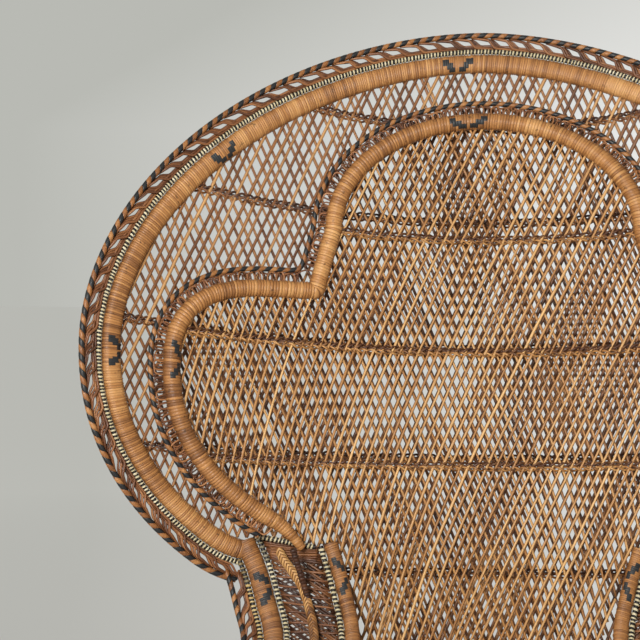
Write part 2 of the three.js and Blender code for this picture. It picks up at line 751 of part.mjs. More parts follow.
// Walls of net from the rails down to the seat ring, the outer one outside the inner one.
function addArmWalls(label, side) {
  const { outer, inner } = armLines(side);
  const walls = [
    ['outer_wall', outer, wall.netShift, band.width], ['inner_wall', inner, -wall.netShift, arm.innerWidth],
  ];
  for (const [name, rail, shift, railWidth] of walls) {
    const radius = seat.ringRadius + shift;
    const end = rail.at(-1).point;
    const startHalf = wall.rearHalf + shift + wall.postRadius + cane.netWidth;
    const from = Math.PI - Math.asin(startHalf / radius);
    const to = Math.atan2(side * end.x, seatCentre - end.y);
    const foot = (t) => {
      const angle = THREE.MathUtils.lerp(from, to, t);
      const [x, y] = [side * radius * Math.sin(angle), seatCentre - radius * Math.cos(angle)];
      return new THREE.Vector3(x, y, wallFoot);
    };
    const railShare = (t) => THREE.MathUtils.lerp(armShares.walls, 1, t);
    const head = (t) => stationAt(rail, railShare(t)).point;
    const heightAt = (t) => {
      const up = head(t).sub(foot(t));
      const i = Math.round(railShare(t) * steps.arm);
      const slant = directionAt(rail.map(({ point }) => point), i).cross(up).length() / up.length();
      return up.length() - (railWidth / 2 + weaveFit) / slant;
    };
    const length = radius * Math.abs(from - to);
    add(`${label}_${name}`, wallNet(foot, head, heightAt, length), brown);
  }
}

function wallNet(foot, head, heightAt, length) {
  const endShare = 0.9;
  const startShare = 0.02;
  const outline = [new THREE.Vector2(startShare * length, 0), new THREE.Vector2(endShare * length, 0)];
  for (let i = steps.arm; i >= 0; i--) {
    const t = THREE.MathUtils.lerp(startShare, endShare, i / steps.arm);
    outline.push(new THREE.Vector2(t * length, heightAt(t)));
  }
  const place = (x, y, height) => {
    const t = THREE.MathUtils.clamp(x / length, 0, 1);
    const up = head(t).sub(foot(t)).normalize();
    const near = Math.min(t + fit / length, 1);
    const along = foot(near).sub(foot(near - fit / length));
    const out = new THREE.Vector3().crossVectors(along, up).normalize();
    return foot(t).addScaledVector(up, y).addScaledVector(out, height);
  };
  const box = new THREE.Box2().setFromPoints(outline);
  const cell = { width: wallCell.widthShare * length, height: wallCell.height };
  return netBody({
    outline, cell, origin: new THREE.Vector2(0, -cell.height / 4),
    columns: Math.ceil(box.max.x / cell.width) + 1, rows: Math.ceil(2 * box.max.y / cell.height),
    width: cane.netWidth, thickness: cane.thickness, place,
  });
}

// The bar that closes the hollow arm at the back, with its piping on top, and the post below the corner.
function addCorner(label, side) {
  const { outer, inner } = armLines(side);
  const [a, b] = [outer[0].point, inner[0].point];
  const width = a.distanceTo(b);
  const besidePipe = 2 * (piping.radius + fit) + arm.barHeight / 2;
  const start = band.width / 2 + besidePipe;
  const stop = width - arm.innerWidth / 2 - besidePipe;
  const upright = new THREE.Vector3(0, 0, 1);
  const bar = [start, width / 2, stop].map((run) => (
    { point: a.clone().lerp(b, run / width), out: upright }));
  add(`${label}_corner_bar`, sweep(strapSection(arm.barHeight, arm.barHeight), bar), brown);
  const pipeRise = arm.barHeight / 2 + fit + piping.radius;
  const pipe = sweep(roundSection(piping.radius), shifted(bar, 0, pipeRise), sides.rod);
  add(`${label}_corner_piping`, pipe, stripe);
  const headShare = 0.6;
  const tilt = wall.postRadius / 3;
  const head = bar[0].point.clone().lerp(bar[2].point, headShare);
  head.y += arm.barHeight / 2 + fit + wall.postRadius + tilt / 2;
  const footU = side * wall.rearHalf;
  const footLift = wall.netShift;
  const foot = backPoint(footU, footV(footU, footLift, seat.ringRadius), footLift);
  foot.z += tilt;
  const post = lineOf([foot, head], () => upright.clone().cross(head.clone().sub(foot)));
  add(`${label}_corner_post`, sweep(roundSection(wall.postRadius), post, sides.rod), straw);
}

// Seat and base

function ring(radius, width, depth, height, roundness) {
  const profile = [];
  for (let i = 0; i <= roundness; i++) {
    const angle = 2 * Math.PI * i / roundness;
    profile.push(new THREE.Vector2(radius + width / 2 * Math.cos(angle), depth / 2 * Math.sin(angle)));
  }
  profile[roundness].copy(profile[0]);
  return placedLathe(profile, height);
}

// A lathed body about the seat's upright axis.
function placedLathe(profile, height) {
  return new THREE.LatheGeometry(profile, steps.ring)
    .rotateX(Math.PI / 2)
    .translate(0, seatCentre, height);
}

// The foot ring stands on a flat face of its section.
const footHeight = base.footSection * Math.cos(Math.PI / sides.pole);

function footRing() {
  const { footRadius, footSection } = base;
  const profile = [];
  for (let i = 0; i <= sides.pole; i++) {
    const angle = 2 * Math.PI * (i + 1 / 2) / sides.pole;
    const [across, up] = [footSection * Math.cos(angle), footSection * Math.sin(angle)];
    profile.push(new THREE.Vector2(footRadius + across, up));
  }
  profile[sides.pole].copy(profile[0]);
  return placedLathe(profile, footHeight);
}

function addSeat() {
  const ringMiddle = seat.ringTop - seat.ringDepth / 2;
  add('seat_ring', ring(seat.ringRadius, seat.ringWidth, seat.ringDepth, ringMiddle, sides.pole), straw);
  const edge = seat.ringRadius - seat.ringWidth / 2 - fit;
  const rim = ringMiddle + seat.weave / 2;
  const dipShares = [[0, 1], [1 / 2, 3 / 4], [1, 0]];
  const upper = dipShares.map(([out, down]) => new THREE.Vector2(out * edge, -down * seat.dish));
  const lower = upper.map((p) => new THREE.Vector2(p.x, p.y - seat.weave));
  add('seat_weave', placedLathe([...lower, ...upper.reverse()], rim), straw);
  for (let i = 0; i < seatBars; i++) {
    const y = seatCentre + (i - (seatBars - 1) / 2) * seat.ringRadius / 2;
    const half = Math.sqrt(edge ** 2 - (y - seatCentre) ** 2) - seat.barRadius;
    const dip = THREE.MathUtils.lerp(1, 3 / 4, Math.abs(y - seatCentre) / (edge / 2)) * seat.dish;
    const z = rim - dip - seat.weave - fit - seat.barRadius;
    const upright = new THREE.Vector3(0, 0, 1);
    const line = [-half, 0, half].map((x) => ({ point: new THREE.Vector3(x, y, z), out: upright }));
    add(`seat_bar_${i + 1}`, sweep(roundSection(seat.barRadius), line), straw);
  }
}

function addBase() {
  const waistWidth = 2 * base.waistSection;
  add('waist_ring', ring(base.waistRadius, waistWidth, waistWidth, base.waistHeight, sides.pole), straw);
  add('foot_ring', footRing(), straw);
  const seatUnder = seat.ringTop - seat.ringDepth - fit;
  const footTop = 2 * footHeight + fit;
  const waistTop = base.waistHeight + base.waistSection + fit;
  const waistUnder = base.waistHeight - base.waistSection - fit;
  add('base_upper_net', baseNetBody(waistTop, base.waistRadius, seatUnder, seat.ringRadius), brown);
  add('base_lower_net', baseNetBody(footTop, base.footRadius, waistUnder, base.waistRadius), brown);
  addPosts(footTop, seatUnder);
}

// A net round the axis between two rings.
function baseNetBody(low, lowRadius, high, highRadius) {
  const rise = high - low;
  const around = 2 * Math.PI * Math.min(lowRadius, highRadius);
  const cell = { width: around / baseNet.columns, height: 2 * rise / baseNet.rows };
  const outline = [[-around, 0], [2 * around, 0], [2 * around, rise], [-around, rise]]
    .map(([x, y]) => new THREE.Vector2(x, y));
  const place = (x, y, height) => {
    const angle = 2 * Math.PI * x / around;
    const radius = THREE.MathUtils.lerp(lowRadius, highRadius, y / rise) + height;
    return new THREE.Vector3(radius * Math.sin(angle), seatCentre - radius * Math.cos(angle), low + y);
  };
  return netBody({
    outline, cell, origin: new THREE.Vector2(0, -cell.height / 4),
    columns: baseNet.columns, rows: baseNet.rows,
    width: cane.netWidth, thickness: cane.thickness, place, wrap: true,
  });
}

// Bent posts inside the net, from the foot ring past the waist to the seat ring.
function addPosts(footTop, seatUnder) {
  const inset = basePost.radius + 2 * fit;
  const footInset = base.footRadius - base.footSection - inset;
  const topInset = seat.ringRadius - seat.ringWidth / 2;
  const stations = [
    [footInset, basePost.radius], [footInset, footTop + basePost.radius],
    [base.waistRadius - base.waistSection - inset, base.waistHeight],
    [topInset, seatUnder - basePost.radius], [topInset, seatUnder],
  ];
  for (let i = 0; i < basePost.count; i++) {
    const turn = 2 * Math.PI * (i + basePost.turnShare) / basePost.count;
    const way = new THREE.Vector3(Math.sin(turn), -Math.cos(turn), 0);
    const points = stations.map(([radius, z]) =>
      new THREE.Vector3(0, seatCentre, z).addScaledVector(way, radius));
    const line = lineOf(curveThrough(points).getSpacedPoints(steps.post), () => way);
    add(`base_post_${i + 1}`, sweep(roundSection(basePost.radius), line, sides.rod), straw);
  }
}

addHoop();
addTrefoil();
addRearNet();
addFrontNet();
addRows('back_row', rearRows, rearOutline(), rearPlace);
addRows('front_row', frontRows, frontOutline(), frontPlace);
for (const [label, side] of [['left', -1], ['right', 1]]) {
  addArm(label, side);
  addCorner(label, side);
}
addSeat();
addBase();

// The origin lies on the floor under the middle of the whole chair.
const bounds = new THREE.Box3().setFromObject(chair);
chair.position.y = -(bounds.min.y + bounds.max.y) / 2;

export default chair;
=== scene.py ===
"""Peacock chair of bound rattan and woven cane. Metres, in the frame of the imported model."""

import math

import bpy
import numpy as np
from mathutils import Matrix, Vector


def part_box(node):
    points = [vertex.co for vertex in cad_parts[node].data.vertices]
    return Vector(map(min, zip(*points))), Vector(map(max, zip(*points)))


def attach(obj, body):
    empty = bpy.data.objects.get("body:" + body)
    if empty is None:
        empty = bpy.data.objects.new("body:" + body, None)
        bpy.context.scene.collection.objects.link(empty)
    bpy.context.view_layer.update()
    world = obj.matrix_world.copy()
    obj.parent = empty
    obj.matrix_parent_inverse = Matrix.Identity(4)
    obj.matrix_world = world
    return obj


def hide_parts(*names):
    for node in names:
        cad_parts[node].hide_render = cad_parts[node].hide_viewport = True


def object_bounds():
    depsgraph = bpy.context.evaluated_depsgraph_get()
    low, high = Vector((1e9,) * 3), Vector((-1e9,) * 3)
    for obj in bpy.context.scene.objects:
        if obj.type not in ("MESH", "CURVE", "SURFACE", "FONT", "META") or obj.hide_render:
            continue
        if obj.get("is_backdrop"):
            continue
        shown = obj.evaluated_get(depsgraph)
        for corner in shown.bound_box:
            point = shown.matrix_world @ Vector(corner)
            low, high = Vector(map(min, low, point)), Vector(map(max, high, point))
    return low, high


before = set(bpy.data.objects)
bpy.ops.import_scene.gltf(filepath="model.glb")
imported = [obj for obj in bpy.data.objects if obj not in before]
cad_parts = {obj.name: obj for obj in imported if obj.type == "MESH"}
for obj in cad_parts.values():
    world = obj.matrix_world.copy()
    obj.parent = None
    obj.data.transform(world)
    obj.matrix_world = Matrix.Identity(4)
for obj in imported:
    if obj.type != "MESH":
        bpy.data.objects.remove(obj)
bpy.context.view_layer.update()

# Sizes that follow the solids. Places on the back are (u, v): sideways from the middle, and up along its lean.
LEAN = 0.15
SEAT_LINE, CORNER_RISE, HOLLOW_R, SEAT_R = 0.450, 0.264, 0.845, 0.250
HOOP = dict(half=0.508, at=0.530, rise=0.420, drop=0.362, up=1.85, low=2.15)
BAND = (0.0135, 0.010)
PIPE, ROPE, ROPE_AT = 0.004, 0.0052, 0.041
TRE = dict(r=0.012, top=0.215, centre=0.700, rise=0.162, cusp=(0.238, 0.611), side=0.427, widest=0.504,
           shoulder=0.300, power=2.5, end=(0.285, 0.292))
TRE_ROPE, TRE_ROPE_AT = 0.0042, 0.028
FRONT_STAND, FIT, WEAVE_FIT = 0.045, 0.0003, 0.0016
NET_SHIFT, NET_HALF, ROW_HALF, NET_EDGE, REAR_HALF = 0.008, 0.0015, 0.002, 0.007, 0.172
CORNER_HALF, CORNER_BAR, REACH = 0.328, 0.006, 0.375
RING_TOP, RING_W, RING_D = 0.428, 0.032, 0.022
WAIST_R, WAIST_Z, WAIST_TUBE = 0.182, 0.205, 0.010
FOOT_R, FOOT_TUBE, POLE_R = 0.268, 0.013, 0.008
INNER_W, INNER_D, RIB = 0.020, 0.016, 0.0055
HEAD_SHARE, LOW_SHARE = 0.643, 0.55
UP = np.array([0, math.sin(LEAN), math.cos(LEAN)])
FRONT = np.array([0, -math.cos(LEAN), math.sin(LEAN)])
UPRIGHT, FORWARD = np.array([0, 0, 1.0]), np.array([0, -1.0, 0])

# The seat ring has eight sides, so its upper slope carries the foot of the walls.
RING_SLOPE = RING_D / 2 * (1 - math.sqrt(.5)) / (RING_W / 2 * math.sqrt(.5))
WALL_FOOT = RING_TOP - (NET_SHIFT - NET_HALF) * RING_SLOPE + 2 * FIT
FOOT_H = FOOT_TUBE * math.cos(math.pi / 8)
TUBE_LIFT = NET_HALF + 2 * WEAVE_FIT + ROW_HALF + TRE["r"]
TRE_TOP = TRE["centre"] + TRE["rise"]


def hollow(u, v, radius=SEAT_R):
    """How far the back comes forward: round at the seat, almost flat above the corners."""
    share = np.clip(1 - v / CORNER_RISE, 0, 1)
    rounded = radius - np.sqrt(np.maximum(radius ** 2 - u * u, 0))
    flat = u * u / HOLLOW_R / 2
    return flat + (rounded - flat) * share * share


def foot_v(u, lift, radius=SEAT_R):
    """Where the back meets the height of the walls' foot."""
    depth = hollow(u, 0 * u, radius) + lift
    return (WALL_FOOT - SEAT_LINE - depth * FRONT[2]) / UP[2]


SEAT_Y = float(foot_v(np.float64(0), 0)) * UP[1] - SEAT_R - NET_SHIFT
ring_low, ring_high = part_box("foot_ring")
SHIFT = (ring_low.y + ring_high.y) / 2 - SEAT_Y
AXIS = np.array([0, SEAT_Y + SHIFT, 0])


def back(u, v, lift=0.0, radius=SEAT_R):
    """Points on the leaning, hollowed back."""
    u, v = np.broadcast_arrays(np.asarray(u, float), np.asarray(v, float))
    depth = hollow(u, v, radius) + lift
    p = v[..., None] * UP + np.asarray(depth)[..., None] * FRONT
    p[..., 0] += u
    p[..., 1] += SHIFT
    p[..., 2] += SEAT_LINE
    return p


def about_axis(angle, radius, z):
    """Points round the seat's axis. Angle 0 is in front."""
    x, y, z = np.broadcast_arrays(radius * np.sin(angle), -radius * np.cos(angle), z)
    return AXIS + np.stack([x, y, z], -1)


def facing(u, v):
    """The back's normal."""
    e = 1e-4
    slope = (hollow(u + e, v) - hollow(u - e, v)) / (2 * e)
    n = np.broadcast_to(FRONT, np.shape(u) + (3,)).copy()
    n[..., 0] -= slope
    return n / np.linalg.norm(n, axis=-1, keepdims=True)


def front_lift(v):
    """How far the front net and the trefoil stand before the back."""
    v = np.asarray(v, float)
    low = 2 * NET_SHIFT + (FRONT_STAND - 2 * NET_SHIFT) * np.clip(v, 0, None) / CORNER_RISE
    share = np.clip((v - CORNER_RISE) / (TRE_TOP - CORNER_RISE), 0, 1)
    return np.where(v < CORNER_RISE, low, FRONT_STAND + (TUBE_LIFT - FRONT_STAND) * share)


# Curves

def arc_length(points):
    return np.concatenate([[0], np.cumsum(np.linalg.norm(np.diff(points, axis=0), axis=1))])


def resample(points, step=None, count=None):
    points = np.asarray(points, float)
    s = arc_length(points)
    n = count or max(2, int(round(s[-1] / step)))
    t = np.linspace(0, s[-1], n + 1)
    return np.stack([np.interp(t, s, points[:, k]) for k in range(points.shape[1])], -1)


def smooth_through(points):
    """Centripetal curve through points."""
    p = np.asarray(points, float)
    p = np.vstack([2 * p[0] - p[1], p, 2 * p[-1] - p[-2]])
    out = []
    for i in range(1, len(p) - 2):
        k = [0.0]
        for a, b in zip(p[i - 1:i + 2], p[i:i + 3]):
            k.append(k[-1] + max(np.linalg.norm(b - a), 1e-9) ** 0.5)
        t = np.linspace(k[1], k[2], 24, endpoint=False)[:, None]

        def mix(a, b, ta, tb):
            return (tb - t) / (tb - ta) * a + (t - ta) / (tb - ta) * b
        a1, a2, a3 = (mix(p[i - 1 + j], p[i + j], k[j], k[j + 1]) for j in range(3))
        out.append(mix(mix(a1, a2, k[0], k[2]), mix(a2, a3, k[1], k[3]), k[1], k[2]))
    return np.vstack(out + [p[-2:-1]])


def unit(a):
    return a / np.maximum(np.linalg.norm(a, axis=-1, keepdims=True), 1e-12)


def across(points, out):
    """The facing and the sideways direction at each point of a line."""
    t = unit(np.gradient(points, axis=0))
    out = np.broadcast_to(out, points.shape)
    o = unit(out - (out * t).sum(-1, keepdims=True) * t)
    return o, np.cross(o, t)


def round_angles(sides):
    return 2 * np.pi * (np.arange(sides) + .5) / sides - np.pi / 2


class Rail:
    """A line with a facing direction. at() gives points beside it by arc length."""

    def __init__(self, points, out, sign=1.0):
        self.p = np.asarray(points, float)
        self.o, self.a = across(self.p, out)
        self.a = self.a * sign
        self.s = arc_length(self.p)
        self.length = self.s[-1]

    def look(self, table, s):
        return np.stack([np.interp(s, self.s, table[:, k]) for k in range(3)], -1)

    def at(self, s, w=0.0, h=0.0):
        s, w, h = np.broadcast_arrays(s, w, h)
        return self.look(self.p, s) + self.look(self.a, s) * w[..., None] + self.look(self.o, s) * h[..., None]

    def out(self, s):
        return unit(self.look(self.o, s))

    def beside(self, w, t0, t1):
        """A rail beside part of this one, between two shares of its length, with a point every 2 mm."""
        s = np.linspace(t0 * self.length, t1 * self.length, max(3, int((t1 - t0) * self.length / 0.002)))
        return Rail(self.at(s, w), self.out(s))


# Meshes

def placed(name, data):
    """An object of the scene."""
    made = bpy.data.objects.new(name, data)
    bpy.context.scene.collection.objects.link(made)
    return made


SIDE_SHADE = 0.78  # how far a cane darkens towards its sides: painted shade
STRIP_SHARES = (0.0, 0.17, 0.38, 0.66, 0.86)  # stations across one strip
STRIP_CROWN = (-1.0, 0.0, 0.35, 0.35, 0.0)  # their height, in ridges
STRIP_JITTER, STRIP_PATCH = 0.2, 0.05  # how widths differ, and the length over which the tone changes
GRAIN_STEP, GRAIN_REPEAT = 0.37, 97  # moves each strip's grain along
STRAND_FAT, STRAND_SWING, STRAND_STEPS = 0.90, 0.36, 12  # a rope's strands


class Weave:
    """Gathers swept canes into one mesh, with their tone, dye and cane coordinates."""

    def __init__(self, seed):
        self.points, self.quads, self.tones, self.dyes, self.coords, self.count = [], [], [], [], [], 0
        self.rng = np.random.default_rng(seed)

    def grid(self, ring, coord, tone=0.5, dye=0.0, cap=True):
        """A skin over rings of points. tone and dye are one value, one for each ring, or one for each face."""
        a, b = ring.shape[:2]
        index = self.count + np.arange(a * b).reshape(a, b)
        nxt = np.roll(index, -1, axis=1)
        quads = np.stack([index[:-1], nxt[:-1], nxt[1:], index[1:]], -1).reshape(-1, 4)
        values = [np.broadcast_to(np.reshape(x, (-1, 1)) if np.ndim(x) == 1 else x, (a - 1, b)).reshape(-1)
                  for x in (tone, dye)]
        if cap:
            caps = []
            for k in range(b // 2 - 1):
                caps.append([index[0, k + 1], index[0, k], index[0, b - 1 - k], index[0, b - 2 - k]])
                caps.append([index[-1, k], index[-1, k + 1], index[-1, b - 2 - k], index[-1, b - 1 - k]])
            quads = np.vstack([quads, caps])
            values = [np.concatenate([x, np.tile(x[[0, -1]], len(caps) // 2)]) for x in values]
        self.points.append(ring.reshape(-1, 3))
        self.coords.append(coord.reshape(-1, 3))
        self.quads.append(quads)
        self.tones.append(values[0])
        self.dyes.append(values[1])
        self.count += a * b

    def tube(self, points, out, rx, ry=None, sides=6, tone=0.5, dye=0.0, cap=True):
        """One cane along points. Its tone is drawn if a pair is given."""
        p = np.asarray(points, float)
        ry = rx if ry is None else ry
        o, a = across(p, out)
        ang = round_angles(sides)
        ring = p[:, None] + a[:, None] * (rx * np.cos(ang))[:, None] + o[:, None] * (ry * np.sin(ang))[:, None]
        if isinstance(tone, tuple):
            tone = float(self.rng.uniform(*tone))
        start = self.rng.uniform(0, 9)
        # Painted shade: each cane darkens towards its sides.
        shade = np.clip(SIDE_SHADE - SIDE_SHADE * np.abs(np.sin(ang)), 0, 1)
        coord = np.stack(np.broadcast_arrays(arc_length(p)[:, None] + start, ang[None] * rx, shade[None]), -1)
        self.grid(ring, coord, tone, dye, cap)

    def bound(self, rail, rx, ry, w=0.0, strip=0.0048, slant=0.06, sides=30, ridge=0.00055, dye=None,
              tones=(0.25, 0.9), lift=None, power=1.0, edges=0.6, ratio=1.0, shrink=0.0):
        """A pole bound crosswise with strips of cane, each with its own tone, width and height."""
        n, k = max(2, int(round(rail.length / strip))), len(STRIP_SHARES)
        wide = (1 + self.rng.uniform(-STRIP_JITTER, STRIP_JITTER, n)) * np.where(np.arange(n) % 2 == 0, ratio, 1)
        edge = np.concatenate([[0], np.cumsum(wide)]) / wide.sum() * rail.length
        s, rise = np.empty(k * n + 1), np.empty(k * n + 1)
        high = self.rng.normal(0, ridge * 0.35, n)
        if lift is not None:
            high = high + lift(np.arange(n))
        for j in range(k):
            s[j:k * n:k] = edge[:-1] + STRIP_SHARES[j] * np.diff(edge)
            rise[j:k * n:k] = STRIP_CROWN[j] * ridge + (high if j else 0)
        s[-1], rise[-1] = edge[-1], -ridge
        ang = round_angles(sides)
        ca, sa = (np.sign(x) * np.abs(x) ** power for x in (np.cos(ang), np.sin(ang)))
        to_end = np.minimum(s, rail.length - s)
        size = 1 - 0.52 * np.clip(1 - to_end / shrink, 0, 1) ** 1.3 if shrink else 1.0
        along = np.clip(s[:, None] + slant * rx * ca[None] * np.minimum(1, to_end[:, None] / strip), 0, None)
        ring = rail.at(along, w + ((rx + rise) * size)[:, None] * ca[None], ((ry + rise) * size)[:, None] * sa[None])

        # The third cane coordinate darkens the joints between the strips, and paints shade on the pole's sides.
        station = np.arange(k * n + 1)
        depth = np.where(self.rng.uniform(size=k * n + 1) < 0.4, 1.0, self.rng.uniform(0.3, 0.75, k * n + 1))
        groove = np.where(station % k == 0, depth, 0.0)
        side = edges * np.abs(ca) ** 4
        number = np.minimum(station // k, n - 1)
        grain = (ang * (rx + ry) / 2)[None] + GRAIN_STEP * (number[:, None] % GRAIN_REPEAT)
        coord = np.stack(np.broadcast_arrays(grain, s[:, None], np.maximum(groove[:, None], side[None])), -1)
        points = max(2, int(rail.length / STRIP_PATCH))
        slow = np.interp(np.arange(n), np.linspace(0, n, points), self.rng.uniform(0, 1, points))
        tone = tones[0] + (tones[1] - tones[0]) * (0.5 * slow + 0.5 * self.rng.uniform(0, 1, n))
        strip_of = np.arange(k * n) // k
        dyes = 0.0
        if dye is not None:
            dyes = dye(strip_of[:, None], (edge[:-1] + edge[1:]) / 2, np.arange(sides)[None] - (sides // 2 - 1))
        self.grid(ring, coord, tone[strip_of], dyes)

    def twist(self, rail, radius, pitch, hand, tones, w=0.0, trim=0.0):
        """Two strands laid round each other, the second one dyed. trim is left free at both ends."""
        s0, s1 = trim, rail.length - trim
        n = int((s1 - s0) / pitch * STRAND_STEPS)
        s = np.linspace(s0, s1, n + 1)
        for k in range(2):
            a = hand * 2 * np.pi * s / pitch + np.pi * k
            p = rail.at(s, w + STRAND_SWING * radius * np.cos(a), STRAND_SWING * radius * np.sin(a))
            out = rail.look(rail.a, s) * np.cos(a)[:, None] + rail.look(rail.o, s) * np.sin(a)[:, None]
            tone = self.rng.uniform(*tones[k], n)
            slow = np.repeat(self.rng.uniform(*tones[k], n // STRAND_STEPS + 1), STRAND_STEPS)[:n]
            self.tube(p, out, radius * STRAND_FAT, radius * (1 - STRAND_SWING), sides=8,
                      tone=0.3 * tone + 0.7 * slow, dye=float(k))

    def build(self, name, material, slot, *nodes):
        """The gathered canes as one piece, which replaces the nodes."""
        points, quads = np.concatenate(self.points), np.concatenate(self.quads)
        mesh = bpy.data.meshes.new(name)
        mesh.vertices.add(len(points))
        mesh.vertices.foreach_set("co", points.astype(np.float32).ravel())
        mesh.loops.add(quads.size)
        mesh.loops.foreach_set("vertex_index", quads.astype(np.int32).ravel())
        mesh.polygons.add(len(quads))
        mesh.polygons.foreach_set("loop_start", np.arange(0, quads.size, 4, dtype=np.int32))
        mesh.update(calc_edges=True)
        for key, kind, domain, field, values in (("tone", "FLOAT", "FACE", "value", self.tones),
                                                 ("dye", "FLOAT", "FACE", "value", self.dyes),
                                                 ("cane", "FLOAT_VECTOR", "POINT", "vector", self.coords)):
            values = np.concatenate(values).astype(np.float32).ravel()
            mesh.attributes.new(key, kind, domain).data.foreach_set(field, values)
        mesh.polygons.foreach_set("use_smooth", np.ones(len(quads), bool))
        mesh.materials.append(material)
        piece = placed(name, mesh)
        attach(piece, "root")
        if nodes:
            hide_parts(*nodes)


# Nodes of materials and world

def lin(*rgb):
    return tuple(((c / 255) / 12.92 if c <= 10 else ((c / 255 + 0.055) / 1.055) ** 2.4) for c in rgb) + (1.0,)


def new(nt, kind, **values):
    """A node with its inputs and settings given by name."""
    node = nt.nodes.new(kind)
    for key, value in values.items():
        if key in node.inputs:
            node.inputs[key].default_value = value
        else:
            setattr(node, key, value)
    return node


def math_node(nt, operation, a, b):
    node = new(nt, "ShaderNodeMath", operation=operation)
    for socket, value in zip(node.inputs, (a, b)):
        if isinstance(value, float):
            socket.default_value = value
        else:
            nt.links.new(value, socket)
    return node.outputs[0]


def ranged(nt, source, low, high, to_low=0.0, to_high=1.0):
    node = new(nt, "ShaderNodeMapRange", **{"From Min": low, "From Max": high, "To Min": to_low, "To Max": to_high})
    nt.links.new(source, node.inputs["Value"])
    return node.outputs[0]


def ramp_of(nt, source, *stops):
    """A colour ramp with its stops in order, as (position, colour)."""
    node = new(nt, "ShaderNodeValToRGB")
    elements = node.color_ramp.elements
    for element, (position, colour) in zip(elements, (stops[0], stops[-1])):
        element.position, element.color = position, colour
    for position, colour in stops[1:-1]:
        elements.new(position).color = colour
    nt.links.new(source, node.inputs[0])
    return node.outputs[0]


def mixed(nt, share, a, b, blend="MIX"):
    """Colour a, covered by colour b. b is a socket or a colour."""
    node = new(nt, "ShaderNodeMix", data_type="RGBA", blend_type=blend)
    nt.links.new(share, node.inputs[0])
    nt.links.new(a, node.inputs[6])
    if isinstance(b, tuple):
        node.inputs[7].default_value = b
    else:
        nt.links.new(b, node.inputs[7])
    return node.outputs[2]


# GROOVE_AND_SHADE_COLOUR darkens the joints between strips and paints shade on the sides of canes and poles.
ROUGH, GROOVE_AND_SHADE_COLOUR = 0.46, (0.24, 0.15, 0.10, 1)
SPOT_DARK, INK_DARK, INK_LIGHT = 0.42, 0.7, 1.25  # shares of the darkest tone and of the ink


def blended(nt, share, a, b):
    """Shader a, covered by shader b."""
    node = new(nt, "ShaderNodeMixShader")
    for socket, source in zip(node.inputs, (share, a, b)):
        nt.links.new(source, socket)
    return node.outputs[0]


def cane_material(name, dark, middle, light, ink=(30, 32, 34), fibre=760.0, groove=0.8, spots=0.25):
    """Cane with fibres along it, a tone for each strand, patches, darker grooves, painted shade on the sides and an
    ink for dyed strips.
    """
    m = bpy.data.materials.new(name)
    m.use_nodes = True
    nt = m.node_tree
    link = nt.links.new
    shader = nt.nodes["Principled BSDF"]
    cane, tone, dye = (new(nt, "ShaderNodeAttribute", attribute_name=key) for key in ("cane", "tone", "dye"))
    parts = new(nt, "ShaderNodeSeparateXYZ")
    link(cane.outputs["Vector"], parts.inputs[0])
    grain_at = new(nt, "ShaderNodeCombineXYZ")
    link(math_node(nt, "MULTIPLY", parts.outputs[0], 34.0), grain_at.inputs[0])
    link(math_node(nt, "MULTIPLY", parts.outputs[1], fibre), grain_at.inputs[1])
    link(math_node(nt, "MULTIPLY", tone.outputs["Fac"], 31.0), grain_at.inputs[2])
    grain = new(nt, "ShaderNodeTexNoise", Scale=1.0, Detail=3.0, Roughness=0.6)
    link(grain_at.outputs[0], grain.inputs["Vector"])
    place = new(nt, "ShaderNodeTexCoord")
    patch = new(nt, "ShaderNodeTexNoise", Scale=13.0, Detail=3.0, Roughness=0.55)
    speck = new(nt, "ShaderNodeTexNoise", Scale=120.0, Detail=2.0, Roughness=0.6)
    for noise in (patch, speck):
        link(place.outputs["Object"], noise.inputs["Vector"])

    shade = math_node(nt, "MULTIPLY", tone.outputs["Fac"], 0.62)
    for noise, weight in ((patch, 0.42), (grain, 0.56)):
        shade = math_node(nt, "ADD", shade, math_node(nt, "MULTIPLY", noise.outputs["Fac"], weight))
    shade = math_node(nt, "SUBTRACT", shade, 0.30)
    colour = ramp_of(nt, shade, (0.1, lin(*dark)), (0.5, lin(*middle)), (0.92, lin(*light)))
    stain = ranged(nt, speck.outputs["Fac"], 0.64, 0.76, 0.0, spots)
    colour = mixed(nt, stain, colour, lin(*(c * SPOT_DARK for c in dark)))
    inks = ramp_of(nt, grain.outputs["Fac"], *((at, lin(*(c * share for c in ink)))
                                               for at, share in ((0.3, INK_DARK), (0.75, INK_LIGHT))))
    colour = mixed(nt, dye.outputs["Fac"], colour, inks)
    # Darker joints, and painted shade on the canes' sides.
    joint_and_side_shade = math_node(nt, "MULTIPLY", math_node(nt, "POWER", parts.outputs[2], 1.4), groove)
    link(mixed(nt, joint_and_side_shade, colour, GROOVE_AND_SHADE_COLOUR, "MULTIPLY"), shader.inputs["Base Color"])
    link(ranged(nt, grain.outputs["Fac"], 0.3, 0.7, ROUGH - 0.08, ROUGH + 0.12), shader.inputs["Roughness"])
    bump = new(nt, "ShaderNodeBump", Strength=0.35, Distance=0.0004)
    link(grain.outputs["Fac"], bump.inputs["Height"])
    link(bump.outputs[0], shader.inputs["Normal"])
    for key, value in (("Specular IOR Level", 0.42), ("Coat Weight", 0.08), ("Coat Roughness", 0.3)):
        shader.inputs[key].default_value = value
    return m


